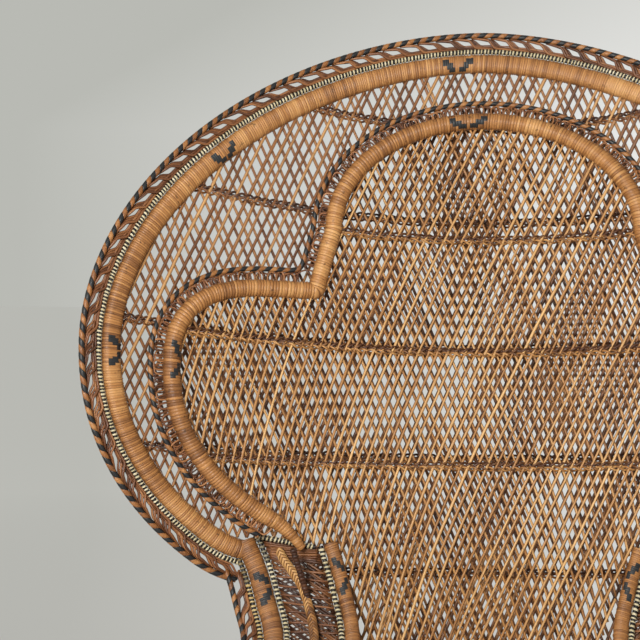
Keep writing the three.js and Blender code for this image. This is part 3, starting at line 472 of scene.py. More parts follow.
BOUND = cane_material("bound_cane", (88, 49, 22), (172, 119, 66), (219, 169, 108), spots=0.7, groove=1.0)
STRIPED = cane_material("striped_cane", (140, 124, 86), (200, 188, 150), (230, 222, 194), ink=(22, 20, 19),
                        groove=0.85)
STRIPED_ARM = cane_material("striped_cane_arm", (130, 104, 56), (180, 154, 98), (214, 194, 146), ink=(23, 20, 18),
                            groove=0.85)
TWO_TONE = cane_material("two_tone_cane", (82, 46, 22), (148, 96, 50), (198, 146, 90), ink=(21, 23, 25))
LOOP = cane_material("loop_cane", (56, 29, 15), (122, 76, 44), (186, 130, 80), groove=0.95)
REAR = cane_material("rear_cane", (58, 29, 12), (136, 87, 46), (210, 162, 104), spots=0.6, groove=1.0)
STRAW = cane_material("front_cane", (78, 42, 18), (171, 120, 65), (228, 184, 122), spots=0.5, groove=1.0)
SEAT = cane_material("seat_cane", (126, 82, 44), (180, 134, 84), (216, 176, 122))
POLE = cane_material("peeled_pole", (116, 74, 42), (166, 118, 72), (200, 156, 104), fibre=300.0, spots=0.5)


# Hoop

HOOP_END_LIFT, HOOP_END_RUN = 0.008, 0.045  # the ends bend up to the arms
PIPE_CORE = PIPE - .0002
SEAM_FACE, WORN_START, WORN_INK = 4, 0.036, 0.62
EDGE_ROPE, EDGE_ROPE_OUT, EDGE_ROPE_PITCH = ROPE - 0.0010, 0.0008, 0.0176


def superellipse(half, rise, power, angle):
    s, c = np.sin(angle), np.cos(angle)
    return half * np.abs(s) ** (2 / power) * np.sign(s), rise * np.abs(c) ** (2 / power) * np.sign(c)


def on_back(u, v, lift=0.0, step=0.003):
    """A rail along places on the back, and its places, evenly spaced."""
    uv = resample(np.stack([u, v], -1), step=step)
    lifts = lift(uv[:, 1]) if callable(lift) else lift
    return Rail(back(uv[:, 0], uv[:, 1], lifts), facing(uv[:, 0], uv[:, 1])), uv


def hoop_places():
    end_half = CORNER_HALF + 2 * WEAVE_FIT
    end = math.pi - math.asin((end_half / HOOP["half"]) ** (HOOP["low"] / 2))
    angle = np.linspace(-end, end, 1201)
    upper = np.abs(angle) < math.pi / 2
    u1, v1 = superellipse(HOOP["half"], HOOP["rise"], HOOP["up"], angle)
    u2, v2 = superellipse(HOOP["half"], HOOP["drop"], HOOP["low"], angle)
    u, v = np.where(upper, u1, u2), HOOP["at"] + np.where(upper, v1, v2)
    near_end = np.clip(1 - (np.abs(u) - end_half) / HOOP_END_RUN, 0, 1)
    return u, v + HOOP_END_LIFT * np.where(upper, 0, near_end ** 2)


def chevrons(centres, first, step, length):
    """Dye for stepped chevrons, three blocks on each side of a centre. Each block covers three faces."""
    def dye(strip, middle, face):
        mark = np.zeros(np.broadcast(strip, face).shape)
        for centre in centres:
            away = np.abs(middle[strip] - centre)
            for k, faces in enumerate(((2, 3, 4), (0, 1, 2), (-2, -1, 0))):
                mark = np.maximum(mark, (np.abs(away - first - k * step) < length / 2) & np.isin(face, faces))
        return mark
    return dye


def stripes(strip, middle, face):
    """Every second strip is dyed, and so is the seam at the back."""
    return np.maximum(strip % 2 == 0, np.abs(face) >= SEAM_FACE) * 1.0


def worn_start(strip, middle, face):
    """Stripes that are dull where the piping starts."""
    return np.maximum(stripes(strip, middle, face), WORN_INK * (middle[strip] < WORN_START))


def binding(seed, name, node, rail, rx, ry, material=BOUND, slot="bound_cane", **look):
    """The piece that shows a node as a bound pole."""
    m = Weave(seed)
    m.bound(rail, rx, ry, **look)
    m.build(name, material, slot, node)


def piping(seed, rail, strip, name, material, node, dye=stripes, w=0.0, slant=0.12):
    """A thin core bound with pale strips and wider dyed ones that lie deeper."""
    binding(seed, name, node, rail, PIPE_CORE, PIPE_CORE, material, "striped_cane", w=w, strip=strip, slant=slant,
            sides=14, ridge=0.0003, dye=dye, lift=lambda k: np.where(k % 2 == 0, -0.0006, 0.0002),
            tones=(0.2, 1.0), edges=0.55, ratio=1.12)


hoop, hoop_uv = on_back(*hoop_places())
marks = [hoop.s[np.argmin(np.linalg.norm(hoop.p - back(*place), axis=1))] for place in
         ((-0.043, 0.950), (-0.370, 0.796), (-0.506, 0.517), (0.306, 0.846), (0.506, 0.517))]

binding(11, "hoop_binding", "back_hoop", hoop, *BAND, dye=chevrons(marks, 0.0072, 0.0048, 0.0092), strip=0.0032,
        power=0.86, tones=(0.0, 1.0))
piping(12, hoop, 0.00240, "hoop_piping_stripes", STRIPED, "hoop_piping", w=BAND[0] + FIT + PIPE)

m = Weave(13)
m.twist(hoop, EDGE_ROPE, EDGE_ROPE_PITCH, -1, ((0.1, 0.9), (0.2, 0.8)), w=ROPE_AT + EDGE_ROPE_OUT)
m.build("edge_rope_strands", TWO_TONE, "two_tone_cane", "edge_rope")

# A border's stakes. Their lengths are in pitches of the border.
STAKE_R, STAKES, STAKE_STEP, STAKE_STACK = 0.00205, 3, 0.0036, 0.0017
STAKE_RUN, STAKE_BESIDE, STAKE_CROSS = 2.4, 1.1, 0.55
STAKE_TUCK, STAKE_UNDER = 0.12, 0.28
STAKE_OUTER = ROPE_AT - ROPE + 0.0010


def ease(t):
    t = np.clip(t, 0, 1)
    return t * t * (3 - 2 * t)


def border(weave, rail, pitch, inner, s0, s1, way=-1):
    """Groups of stakes that run beside the piping, cross over in a bend and run on below the rope."""
    rng = weave.rng
    t = np.linspace(0, 1, 21)
    tucked = np.clip(1 - t / STAKE_TUCK, 0, 1)
    under = np.clip((t - (1 - STAKE_UNDER)) / STAKE_UNDER, 0, 1)
    for k in range(int((s1 - s0) / pitch) + 1):
        start = s0 + (k + rng.uniform(-0.06, 0.06)) * pitch
        turn = STAKE_CROSS * rng.uniform(0.85, 1.15)
        for c in range(STAKES):
            s = np.clip(start + way * (pitch * STAKE_RUN * t + c * STAKE_STEP), 0, rail.length)
            over = ease((t * STAKE_RUN - STAKE_BESIDE) / turn)
            rise = inner + STAKE_R + (STAKE_OUTER - inner - 2 * STAKE_R) * over + (2 - c) * STAKE_STACK * (1 - over)
            rise = rise + rng.uniform(-0.0003, 0.0003) - 0.0030 * tucked + 0.0040 * under
            h = 0.0018 * np.cos(np.pi * (t * 1.6 + 0.5 * c)) + (c - 1) * 0.0014 - 0.0040 * under - 0.0045 * tucked
            weave.tube(rail.at(s, rise, h), rail.out(s), STAKE_R * rng.uniform(0.8, 1.1), tone=(0.05, 0.85), cap=False)


m = Weave(14)
border(m, hoop, 0.0245, BAND[0] + 2 * PIPE - 0.0008, 0.045, hoop.length - 0.004)
m.build("hoop_loop_stakes", LOOP, "brown_cane", "hoop_loops")


# Trefoil

TRIM = 0.052  # the trefoil's rope and arches stop short of the tube's ends
TO_CORNER = ((0.013, 0.0100), (0.025, 0.0220), (0.036, 0.0355))  # steps in and down past the tube's end


def trefoil_half():
    q = np.linspace(0, math.pi / 2, 60)
    u, v = superellipse(TRE["top"], TRE["rise"], 2, q)
    top = np.stack([u, TRE["centre"] + v], -1)
    reach, rise = TRE["side"] - TRE["shoulder"], TRE["cusp"][1] - TRE["widest"]
    u, v = superellipse(reach, rise, TRE["power"], q)
    shoulder = np.stack([TRE["shoulder"] + u, TRE["widest"] + v], -1)
    end = np.array(TRE["end"])
    fall, run = TRE["widest"] - end[1], TRE["side"] - end[0]
    a = shoulder[-1]
    b = np.array([TRE["side"], TRE["widest"] - fall * 0.38])
    c = np.array([TRE["side"] - run * 0.26, TRE["widest"] - fall * 0.74])
    t = np.linspace(0, 1, 60)[1:, None]
    lower = a * (1 - t) ** 3 + 3 * b * t * (1 - t) ** 2 + 3 * c * t * t * (1 - t) + end * t ** 3
    return np.vstack([top, [TRE["cusp"]], shoulder, lower, end - np.array(TO_CORNER)])


def offset_places(places, distance):
    """Places beside a line, without those that a corner crosses."""
    t = unit(np.gradient(places, axis=0))
    moved = places + np.stack([-t[:, 1], t[:, 0]], -1) * distance
    gap = np.array([np.min(np.linalg.norm(places - p, axis=1)) for p in moved])
    return moved[gap >= abs(distance) * 0.97]


def rope_lift(v):
    return front_lift(v) - TRE["r"] + TRE_ROPE


half = trefoil_half()
tre_uv = np.vstack([(half[::-1] * [-1, 1])[:-1], half])
tre, tre_places = on_back(tre_uv[:, 0], tre_uv[:, 1], front_lift, step=0.002)
edge_uv = resample(offset_places(tre_places, TRE_ROPE_AT), step=0.003)
for _ in range(14):
    edge_uv[1:-1] = edge_uv[1:-1] / 2 + (edge_uv[:-2] + edge_uv[2:]) / 4
tre_rope, _ = on_back(edge_uv[:, 0], edge_uv[:, 1], rope_lift)
tre_marks = [tre.s[np.argmin(np.linalg.norm(tre_places - place, axis=1))] for place in
             ((-0.028, 0.859), (-0.425, 0.506), (0.425, 0.506))]

binding(21, "trefoil_binding", "trefoil_tube", tre, TRE["r"], TRE["r"], strip=0.0042, tones=(0.0, 1.0),
        dye=chevrons(tre_marks, 0.0092, 0.0062, 0.0102), ridge=0.0007, shrink=0.075)

m = Weave(22)
m.twist(tre_rope, TRE_ROPE - 0.0004, 0.0178, -1, ((0.2, 0.9), (0.2, 0.8)), trim=TRIM)
m.build("trefoil_rope_strands", TWO_TONE, "two_tone_cane", "trefoil_rope")

tube_of = np.array([np.argmin(np.linalg.norm(tre.p - p, axis=1)) for p in tre_rope.p])
tube_near = tre.p[tube_of] + tre.o[tube_of] * -0.004


def between(s, share, h):
    """A place between the tube, at share 0, and the rope, at share 1."""
    s = np.clip(s, 0, tre_rope.length)
    edge = tre_rope.at(s, -TRE_ROPE * 0.6)
    base = tre_rope.look(tube_near, s)
    base = base + unit(edge - base) * (TRE["r"] * 0.88)
    return base + (edge - base) * share[:, None] + tre_rope.out(s) * np.asarray(h)[..., None]


m = Weave(23)
rng = m.rng
turn = np.cos(np.pi * np.linspace(0, 1, 9))
bulge = np.sin(np.pi * np.linspace(0, 1, 9)) ** 0.7
for s in np.arange(TRIM, tre_rope.length - TRIM, 0.0062):
    reach, top = rng.uniform(0.0050, 0.0090), rng.uniform(0.72, 1.02)
    arch = between(s - reach * turn * np.abs(turn) ** -0.35 * rng.choice([-1, 1]), top * bulge,
                   rng.uniform(-0.0035, 0.0035) * turn)
    m.tube(arch, tre_rope.out(np.full(9, s)), 0.00125 * rng.uniform(0.75, 1.25), tone=(0, 1), cap=False)
m.build("trefoil_loop_fibres", LOOP, "brown_cane", "trefoil_loops")


# Nets

NET_STEP, NET_EVEN, FRONT_PITCH = 0.006, 0.45, 0.0128  # a net is evenly spaced at one height
HIDDEN = 0.004  # how far a net's edge runs in below its rail
TWINE_PITCH, TWINE_SWING, TWINE_APART, TWINE_R = 0.0116, 0.0024, 0.0062, 0.00165


def inside(places, outline):
    x, y = places[:, 0], places[:, 1]
    hit = np.zeros(len(places), bool)
    for (x0, y0), (x1, y1) in zip(outline, np.roll(outline, -1, axis=0)):
        if y0 != y1:
            spans = (y0 > y) != (y1 > y)
            hit ^= spans & (x < (x1 - x0) * (y - y0) / (y1 - y0) + x0)
    return hit


def runs(mask):
    """The first and last index of each run of true values."""
    edges = np.flatnonzero(np.diff(np.concatenate([[0], mask.astype(int), [0]])))
    return list(zip(edges[::2], edges[1::2]))


def outline_of(places, inset, right, lift, radius, lowest=-1.0):
    """The inside of an edge, the right side, the foot, and the right side mirrored."""
    t = unit(np.gradient(places, axis=0))
    edge = places + np.stack([t[:, 1], -t[:, 0]], -1) * (inset - HIDDEN)
    u = np.linspace(right[-1][0], -right[-1][0], 30)
    foot = np.stack([u, foot_v(u, lift, radius)], -1)
    return np.vstack([edge[edge[:, 1] > lowest], right, foot, np.array(right[::-1]) * [-1, 1]])


rear_inset, arm_top_v = NET_EDGE + WEAVE_FIT, CORNER_RISE + 0.3 * BAND[0]
rear_edge = outline_of(hoop_uv, BAND[0], (
    (CORNER_HALF - 0.5 * BAND[0], arm_top_v),
    (CORNER_HALF * HEAD_SHARE + FRONT_STAND - rear_inset, CORNER_RISE - 2 * BAND[0]),
    (REAR_HALF - rear_inset, 0.0)), 0, SEAT_R + NET_SHIFT, lowest=arm_top_v)
front_edge = outline_of(tre_places, TRE["r"], (
    (CORNER_HALF * HEAD_SHARE - INNER_W / 2 - WEAVE_FIT, CORNER_RISE),
    (CORNER_HALF * LOW_SHARE - INNER_W - WEAVE_FIT, CORNER_RISE / 2),
    (REAR_HALF - NET_SHIFT - NET_EDGE, 0.0)), 2 * NET_SHIFT, SEAT_R - NET_SHIFT)


def rear_slope(u, v):
    return 0.43 + 0.05 * (v - 0.5) + 0.06 * u


def front_slope(u, v):
    """Run over rise of the front net's canes, steeper towards the left and the seat."""
    bend = np.clip(1.04 - 2.15 * (v - 0.27), 0.12, 1.1)
    return np.clip(0.437 + 0.13 * (v - 0.25) + bend * np.minimum(u, 0.02), 0.10, 0.62)


def rear_place(u, v, h):
    return back(u, v, h, SEAT_R + NET_SHIFT)


def front_place(u, v, h):
    return back(u, v, front_lift(v) + h, SEAT_R - NET_SHIFT)


def family(weave, outline, slope, seeds, way, place, radius, lift, tones, rare=0.07, veil=None):
    """One family of canes, each following the slope from its seed. Canes are darker where they lie behind the given
    outline: a painted shadow of the net in front.
    """
    rng = weave.rng
    v = np.arange(-0.05, 0.96, NET_STEP)
    i0 = int(np.argmin(np.abs(v - NET_EVEN)))
    for seed in seeds:
        u = np.empty(len(v))
        u[i0] = seed
        drift = rng.normal(0, 0.004)
        for step, order in ((1, range(i0 + 1, len(v))), (-1, range(i0 - 1, -1, -1))):
            for i in order:
                u[i] = u[i - step] + step * way * (slope(way * u[i - step], v[i]) + drift) * NET_STEP
        u = u + 0.0006 * np.sin(v * rng.uniform(18, 40) + rng.uniform(0, 6))
        fine_v = np.arange(v[0], v[-1], 0.001)
        fine_u = np.interp(fine_v, v, u)
        mask = inside(np.stack([fine_u, fine_v], -1), outline)
        thick = radius * rng.uniform(0.86, 1.16)
        tone = float(rng.uniform(*tones))
        if rng.uniform() < rare:
            tone, thick = min(1.0, tone + 0.2), thick * 1.04
        for a, b in runs(mask):
            if b - a < 8:
                continue
            uv = resample(np.stack([fine_u[a:b], fine_v[a:b]], -1), step=0.0065)
            # Painted shadow: tones drop behind the net in front.
            along = tone if veil is None else np.where(inside(uv, veil)[:-1], tone * 0.7 - 0.1, tone)
            weave.tube(place(*uv.T, lift), facing(*uv.T), thick, thick * 0.72, tone=along)


def net(name, material, slot, outline, slope, place, rising, falling, **more):
    """Two crossing families, each given by its seeds, radius, lift, tones and random seed."""
    for kind, way, (seeds, radius, lift, tones, seed) in (("rising", 1, rising), ("falling", -1, falling)):
        m = Weave(seed)
        seeds = seeds + m.rng.normal(0, 0.0005, len(seeds))
        family(m, outline, slope, seeds, way, place, radius, lift, tones, **more)
        m.build(f"{name}_{kind}", material, slot, *([name] if way > 0 else []))


seeds = np.arange(-0.80, 0.80, 0.0127)
# In both nets the falling canes lie behind the rising ones and get lower tones: painted shade.
net("back_net", REAR, "brown_cane", rear_edge, rear_slope, rear_place, (seeds, 0.0023, 0.0012, (0.2, 1.0), 31),
    (seeds, 0.0021, -0.0012, (0.05, 0.75), 32), veil=tre_places)
left, right = np.linspace(FRONT_PITCH, 0.0105, 50), np.full(50, FRONT_PITCH)
seeds = np.concatenate([-np.cumsum(left)[::-1], [0.0], np.cumsum(right)])
net("front_net", STRAW, "straw_cane", front_edge, front_slope, front_place, (seeds, 0.0019, 0.0016, (0.4, 0.95), 41),
    (-seeds, 0.0018, -0.0014, (0.15, 0.8), 42), rare=0.05)


def twined(weave, line, out):
    """Two lines of twining, each a pair of thin canes that cross over and under the net. The line at row +1 gets lower
    tones: a painted shadow line along the row.
    """
    rail = Rail(line, out)
    n = int(rail.length / TWINE_PITCH * 8)
    s = np.linspace(0, rail.length, n + 1)
    for row, gain, loss in ((-1, 0.9, 0.1), (1, 0.5, 0.4)):
        for k in range(2):
            a = -row * np.pi * s / TWINE_PITCH + np.pi * k
            p = rail.at(s, row * TWINE_APART / 2 + TWINE_SWING * np.cos(a), TWINE_SWING * np.sin(a))
            tone = np.repeat(weave.rng.uniform(0.0, 0.9, n // 4 + 1), 4)[:n] * gain - loss
            weave.tube(p, rail.out(s), TWINE_R, tone=tone)


def rows(prefix, table, outline, place, material, seed):
    """Twined rows across a net. The table gives each one's height at the middle and how slowly it bends up."""
    for number, (at, bow) in enumerate(table, 1):
        m = Weave(seed + number)
        u = np.arange(-0.52, 0.52, 0.002)
        v = at + 0.012 * u + u * u / bow
        a, b = max(runs(inside(np.stack([u, v], -1), outline)), key=lambda r: r[1] - r[0])
        u, v = u[a:b], v[a:b]
        twined(m, place(u, v, 0.0006), facing(u, v))
        m.build(f"{prefix}_{number}_twining", material, "brown_cane", f"{prefix}_{number}")


rows("back_row", ((0.854, 2.5), (0.718, 4.6), (0.538, 8.0), (0.383, 16.0), (0.224, 30.0)), rear_edge, rear_place,
     REAR, 50)
rows("front_row", ((0.690, 4.6), (0.531, 8.0), (0.372, 16.0)), front_edge, front_place, STRAW, 60)


# Arms. The tables give the rails as shares of the corner's half width, of the reach and of the drop.

OUTER_SHARES = ((1, 0, 0), (0.945, 0.04, 0.13), (0.905, 0.09, 0.26), (0.868, 0.155, 0.385), (0.865, 0.32, 0.55),
                (0.875, 0.55, 0.64), (0.83, 0.8, 0.7), (0.7, 0.98, 0.77), (0.625, 1.02, 0.87), (0.625, 1.02, 1))
INNER_SHARES = ((HEAD_SHARE, 0.01, 0), (0.607, 0.04, 0.12), (0.58, 0.08, 0.215), (0.55, 0.14, 0.34),
                (0.535, 0.32, 0.51), (0.545, 0.55, 0.61), (0.545, 0.82, 0.68), (0.5, 1.08, 0.75),
                (0.457, 1.15, 0.87), (0.457, 1.15, 1))
corner = back(CORNER_HALF, CORNER_RISE)
rail_end = RING_TOP + 3 * FIT
BESIDE_OUTER, BESIDE_INNER = BAND[0] + FIT + PIPE, INNER_W / 2 + FIT + PIPE
WALL_START, WALL_R, STRAND_R, STRAND_SINK, DENSE_END = 0.17, 0.0015, 0.0016, -0.0034, 0.03
POST_R, POST_INSET = 0.0042, 0.0078


def arm_rails(side):
    lines = []
    for table in (OUTER_SHARES, INNER_SHARES):
        t = np.array(table, float)
        drop = corner[2] - rail_end
        p = np.stack([side * t[:, 0] * CORNER_HALF, corner[1] - t[:, 1] * REACH, corner[2] - t[:, 2] * drop], -1)
        lines.append(resample(smooth_through(p), count=320))
    apart = lines[0] - lines[1]
    return [Rail(line, unit(np.cross(unit(np.gradient(line, axis=0)), apart) * side), side) for line in lines]


def wall_canes(weave, rail, side, shift, rail_width, tones):
    """Two diagonal families on the wall between the seat ring and a rail, with twined rows."""
    radius_at = SEAT_R + shift
    end = rail.p[-1]
    first = math.pi - math.asin((REAR_HALF + shift + 0.014) / radius_at)
    last = math.atan2(side * end[0], AXIS[1] - end[1])
    length = radius_at * abs(first - last)

    def foot(t):
        return about_axis(side * (first + (last - first) * t), radius_at, WALL_FOOT)

    def rail_s(t):
        return (WALL_START + (1 - WALL_START) * t) * rail.length

    def head(t):
        return rail.look(rail.p, rail_s(t))

    grid = np.linspace(0, 1, 200)
    up = head(grid) - foot(grid)
    tall = np.linalg.norm(up, axis=1)
    along = unit(rail.look(unit(np.gradient(rail.p, axis=0)), rail_s(grid)))
    slant = np.linalg.norm(np.cross(along, up / tall[:, None]), axis=1)
    room = np.maximum(tall - (rail_width / 2 - NET_HALF) / np.maximum(slant, 0.2), 0)
    normals = unit(np.cross(unit(np.gradient(foot(grid), axis=0)), up / tall[:, None]))

    def place(x, y, h):
        t = np.clip(x / length, 0, 1)
        n = np.stack([np.interp(t, grid, normals[:, k]) for k in range(3)], -1)
        return foot(t) + unit(head(t) - foot(t)) * y[..., None] + n * np.asarray(h)[..., None], n

    for way, h in ((1, 0.0011), (-1, -0.0011)):
        for x0 in np.arange(-0.25, length + 0.25, 0.0125):
            y = np.arange(0.001, 0.30, 0.004)
            x = x0 + way * 0.42 * y + weave.rng.normal(0, 0.0004)
            ok = (x > 0.0) & (x < length * 0.985) & (y < np.interp(x / length, grid, room))
            for a, b in runs(ok):
                if b - a > 2:
                    p, n = place(x[a:b], y[a:b], np.full(b - a, h))
                    weave.tube(p, n, WALL_R * weave.rng.uniform(0.85, 1.15), tone=tones)
    for y0 in (0.004, 0.060, 0.120):
        x = np.arange(0.002, length * 0.98, 0.003)
        for a, b in runs(np.interp(x / length, grid, room) > y0 + 0.010):
            if b - a > 8:
                twined(weave, *place(x[a:b], np.full(b - a, y0), np.zeros(b - a)))


def arm_rims(label, side, seed, outer, inner):
    """The two bound rails, their piping, and the border with its rope."""
    # Both arm bindings get low tones: painted shade, as the arms lie lower.
    binding(seed + 1, label + "_outer_binding", label + "_outer_rail", outer, *BAND, strip=0.0026, power=0.86,
            dye=chevrons((0.072, 0.33), 0.0082, 0.0056, 0.0098), tones=(-0.25, 0.45))
    binding(seed + 2, label + "_inner_binding", label + "_inner_rail", inner, INNER_W / 2, INNER_D / 2, strip=0.0028,
            power=0.9, dye=chevrons((0.048, 0.31), 0.0092, 0.0064, 0.0112), tones=(-0.15, 0.6))
    pipes = (("outer_piping", outer, BESIDE_OUTER, 0.03, 1.0, STRIPED_ARM, worn_start),
             ("middle_piping", outer, -BESIDE_OUTER, 0.0, 0.98, STRIPED, worn_start),
             ("inner_piping", inner, BESIDE_INNER, 0.0, 1.0, STRIPED, stripes))
    for k, (name, rail, w, t0, t1, material, dye) in enumerate(pipes):
        piping(seed + 3 + k, rail.beside(w, t0, t1), 0.0031, f"{label}_{name}_stripes", material,
               f"{label}_{name}", dye)
    m = Weave(seed + 6)
    m.twist(outer.beside(ROPE_AT, 0.05, 1.0), EDGE_ROPE, EDGE_ROPE_PITCH, -side, ((0.0, 0.8), (0.2, 0.8)),
            w=EDGE_ROPE_OUT)
    m.build(label + "_arm_rope_strands", TWO_TONE, "two_tone_cane", label + "_arm_rope")
    m = Weave(seed + 7)
    border(m, outer, 0.0222, BESIDE_OUTER + PIPE * 0.8, 0.06 * outer.length, outer.length, way=1)
    m.build(label + "_arm_loop_stakes", LOOP, "brown_cane", label + "_arm_loops")


def arm_top(label, side, seed, outer, inner):
    """Cross strands over a fine lattice, and the rib."""
    length = outer.length
    near_w, far_w = BESIDE_INNER + PIPE + WEAVE_FIT + FIT, -(BESIDE_OUTER + PIPE + WEAVE_FIT + FIT)

    def top(t, share, h):
        a = inner.at(t * inner.length, near_w, STRAND_SINK)
        b = outer.at(t * length, far_w, STRAND_SINK)
        up = unit(inner.out(t * inner.length) + outer.out(t * length))
        return a + (b - a) * np.asarray(share)[..., None] + up * np.asarray(h)[..., None], up

    m = Weave(seed + 8)
    c = np.linspace(-0.03, 1.03, 9)
    stations = [*np.arange(0.004, DENSE_END, 0.0034), *np.arange(0.040, length - 0.006, 0.0128)]
    for n, s in enumerate(stations):
        t = np.clip((s + (0.012 * (c - 0.5) + m.rng.normal(0, 0.0006))) / length, 0.0, 1)
        p, up = top(t, c, 0.0008 * np.sin(c * 9 + n))
        m.tube(p, up, STRAND_R, tone=(0.1, 0.5) if s < DENSE_END else (0.2, 0.8))
    m.build(label + "_arm_cross_strands", LOOP, "brown_cane", label + "_arm_strands")

    # The lattice under the strands gets low tones: painted shade.
    m = Weave(seed + 9)
    c = np.linspace(-0.03, 1.03, 8)
    for way in (1, -1):
        for s in np.arange(0.020, length - 0.035, 0.0054):
            t = np.clip((s + (way * (c - 0.5) * 0.034) + m.rng.normal(0, 0.0012)) / length, 0, 1)
            p, up = top(t, c, STRAND_SINK - 0.0013 * way)
            m.tube(p, up, STRAND_R * m.rng.uniform(0.8, 1.2), tone=(-0.3, 0.4))
    m.build(label + "_arm_under_lattice", REAR, "brown_cane")

    m = Weave(seed + 10)
    t = np.linspace(0.030, 1, 240)
    rib_p, up = top(t, 0.5 + 0.26 * np.exp(-((t - 0.045) / 0.055) ** 2), 0.0100)
    rib = Rail(rib_p, up, side)
    s = np.linspace(0, rib.length, 120)
    m.tube(rib.at(s), rib.out(s), RIB - 0.0009, sides=12, tone=0.35)
    a = np.linspace(-0.1, 1.05, 8)
    radius = RIB - 0.0004
    for s in np.arange(0.001, rib.length - 0.006, 0.0052):
        for way in (-1, 1):
            ang, along = way * a * 1.75, s + 0.0075 * a
            p = rib.at(np.clip(along, 0, rib.length), radius * np.sin(ang), radius * np.cos(ang))
            out = rib.look(rib.a, along) * np.sin(ang)[:, None] + rib.look(rib.o, along) * np.cos(ang)[:, None]
            tones = (0.0, 0.55) if s > 0.16 * rib.length else (0.5, 1.0)
            m.tube(p, out, 0.0017, 0.0013, tone=tones, cap=False)
    m.build(label + "_rib_herringbone", STRAW, "bound_cane", label + "_arm_rib")


def arm_corner(label, side, seed, outer, inner):
    """Stacked canes with piping on top, and the post."""
    a, b = outer.p[0], inner.p[0]
    width = np.linalg.norm(a - b)
    gap = 2 * (PIPE + FIT) + CORNER_BAR
    start, stop = (BAND[0] + gap) / width, 1 - (INNER_W / 2 + gap) / width
    bar_line = a + (b - a) * np.linspace(start, stop, 24)[:, None]
    bar = Rail(bar_line + (b - a) * 0.06 - [0, 0, 0.016], UPRIGHT)
    m = Weave(seed + 30)
    s = np.linspace(0, bar.length, 20)
    for j in range(5):
        for i in range(3):
            bow = 0.0006 * np.sin(s * 130 + m.rng.uniform(0, 6))
            m.tube(bar.at(s, (i - 1) * 0.0036 + bow, (j - 2) * 0.0035), bar.out(s), 0.0018, 0.0016, sides=8,
                   tone=(0.1, 1.0))
    m.build(label + "_corner_canes", LOOP, "brown_cane", label + "_corner_bar")

    t = np.linspace(start - 0.14, stop + 0.03, 24)[:, None]
    line = a + (b - a) * t + [0, 0, CORNER_BAR + FIT + PIPE] - np.linspace(0.001, 0.015, 24)[:, None] * [0, 0, 1.0]
    piping(seed + 31, Rail(line - [0, 0.006, 0], np.array([0, -1.0, 0.5])), 0.0026,
           label + "_corner_piping_stripes", STRIPED, label + "_corner_piping", slant=0.2)

    low, high = (np.array(p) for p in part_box(label + "_corner_post"))
    near, far = (low, high) if side > 0 else (high, low)
    foot = np.array([near[0] + side * 0.0075, high[1] - POST_INSET, low[2] + 0.0004])
    head = np.array([far[0] - side * 0.0075, low[1] + POST_INSET, high[2] - 0.0012])
    line = foot + (head - foot) * np.linspace(0, 1, 60)[:, None]
    binding(seed + 32, label + "_corner_post_binding", label + "_corner_post", Rail(line, FORWARD), POST_R, POST_R,
            LOOP, sides=14, tones=(-0.5, 0.1))


for label, side, seed in (("left", -1, 100), ("right", 1, 200)):
    outer, inner = arm_rails(side)
    arm_rims(label, side, seed, outer, inner)
    arm_top(label, side, seed, outer, inner)
    for k, (name, rail, shift, width, material, slot, tones) in enumerate((
            ("outer_wall", outer, NET_SHIFT, 2 * BAND[0], REAR, "brown_cane", (0.0, 0.7)),
            ("inner_wall", inner, -NET_SHIFT, INNER_W, STRAW, "straw_cane", (0.1, 0.9)))):
        m = Weave(seed + 20 + k)
        wall_canes(m, rail, side, shift, width, tones)
        m.build(f"{label}_{name}_canes", material, slot, f"{label}_{name}")
    arm_corner(label, side, seed, outer, inner)


# Seat and base

SEAT_PITCH, SEAT_EDGE = 0.0078, SEAT_R - RING_W / 2
SEAT_UNDER, FOOT_TOP = RING_TOP - RING_D - FIT, 2 * FOOT_H + FIT
POLE_STEP, JOINTS, BASE_CANES = 0.003, 0.11, 76


def circle(radius, z):
    return about_axis(np.linspace(0, 2 * np.pi, 401) + np.pi, radius, z)


def bound_ring(name, radius, z, rx, ry, seed):
    rail = Rail(circle(radius, z), UPRIGHT)
    closed = Rail(rail.p, rail.o)
    closed.a[0] = closed.a[-1] = rail.a[0]
    binding(seed, name + "_binding", name, closed, rx, ry, sides=20, strip=0.0052, power=0.92, tones=(0.1, 0.95),
            slant=0.0, edges=0.3)


bound_ring("seat_ring", SEAT_R, RING_TOP - RING_D / 2, RING_W / 2, RING_D / 2, 301)
bound_ring("waist_ring", WAIST_R, WAIST_Z, WAIST_TUBE, WAIST_TUBE, 302)
bound_ring("foot_ring", FOOT_R, FOOT_H + 0.0004, FOOT_TUBE - 0.0002, FOOT_H, 303)


def dish(r):
    """The woven seat hangs a little in the middle."""
    return np.interp(r, [0, SEAT_EDGE / 2, SEAT_EDGE], [-0.008, -0.006, 0.0])


m = Weave(304)
for axis in (0, 1):
    for k, c in enumerate(np.arange(-SEAT_EDGE + 0.003, SEAT_EDGE - 0.002, SEAT_PITCH)):
        reach = math.sqrt(max(SEAT_EDGE ** 2 - c * c, 0)) - 0.0005
        if reach < 0.012:
            continue
        a = np.arange(-reach, reach + SEAT_PITCH / 4, SEAT_PITCH / 2)
        cell = np.floor((a + SEAT_EDGE) / SEAT_PITCH + (0.5 if axis else 0.0)).astype(int)
        over = ((cell + (k if axis == 0 else -k)) // 2) % 2
        h = np.where(over == axis, 0.0009, -0.0009)
        h = np.convolve(np.pad(h, 1, mode="edge"), [0.25, 0.5, 0.25], "valid")
        b = np.full(len(a), c)
        x, y = (a, b) if axis == 0 else (b, a)
        z = RING_TOP - RING_D / 2 + 0.003 - 0.0027 + dish(np.hypot(x, y)) + h
        m.tube(np.stack([x, y + AXIS[1], z], -1), UPRIGHT, SEAT_PITCH * 0.47, 0.00085,
               tone=(0.1, 0.95))
m.build("seat_basket_weave", SEAT, "straw_cane", "seat_weave")


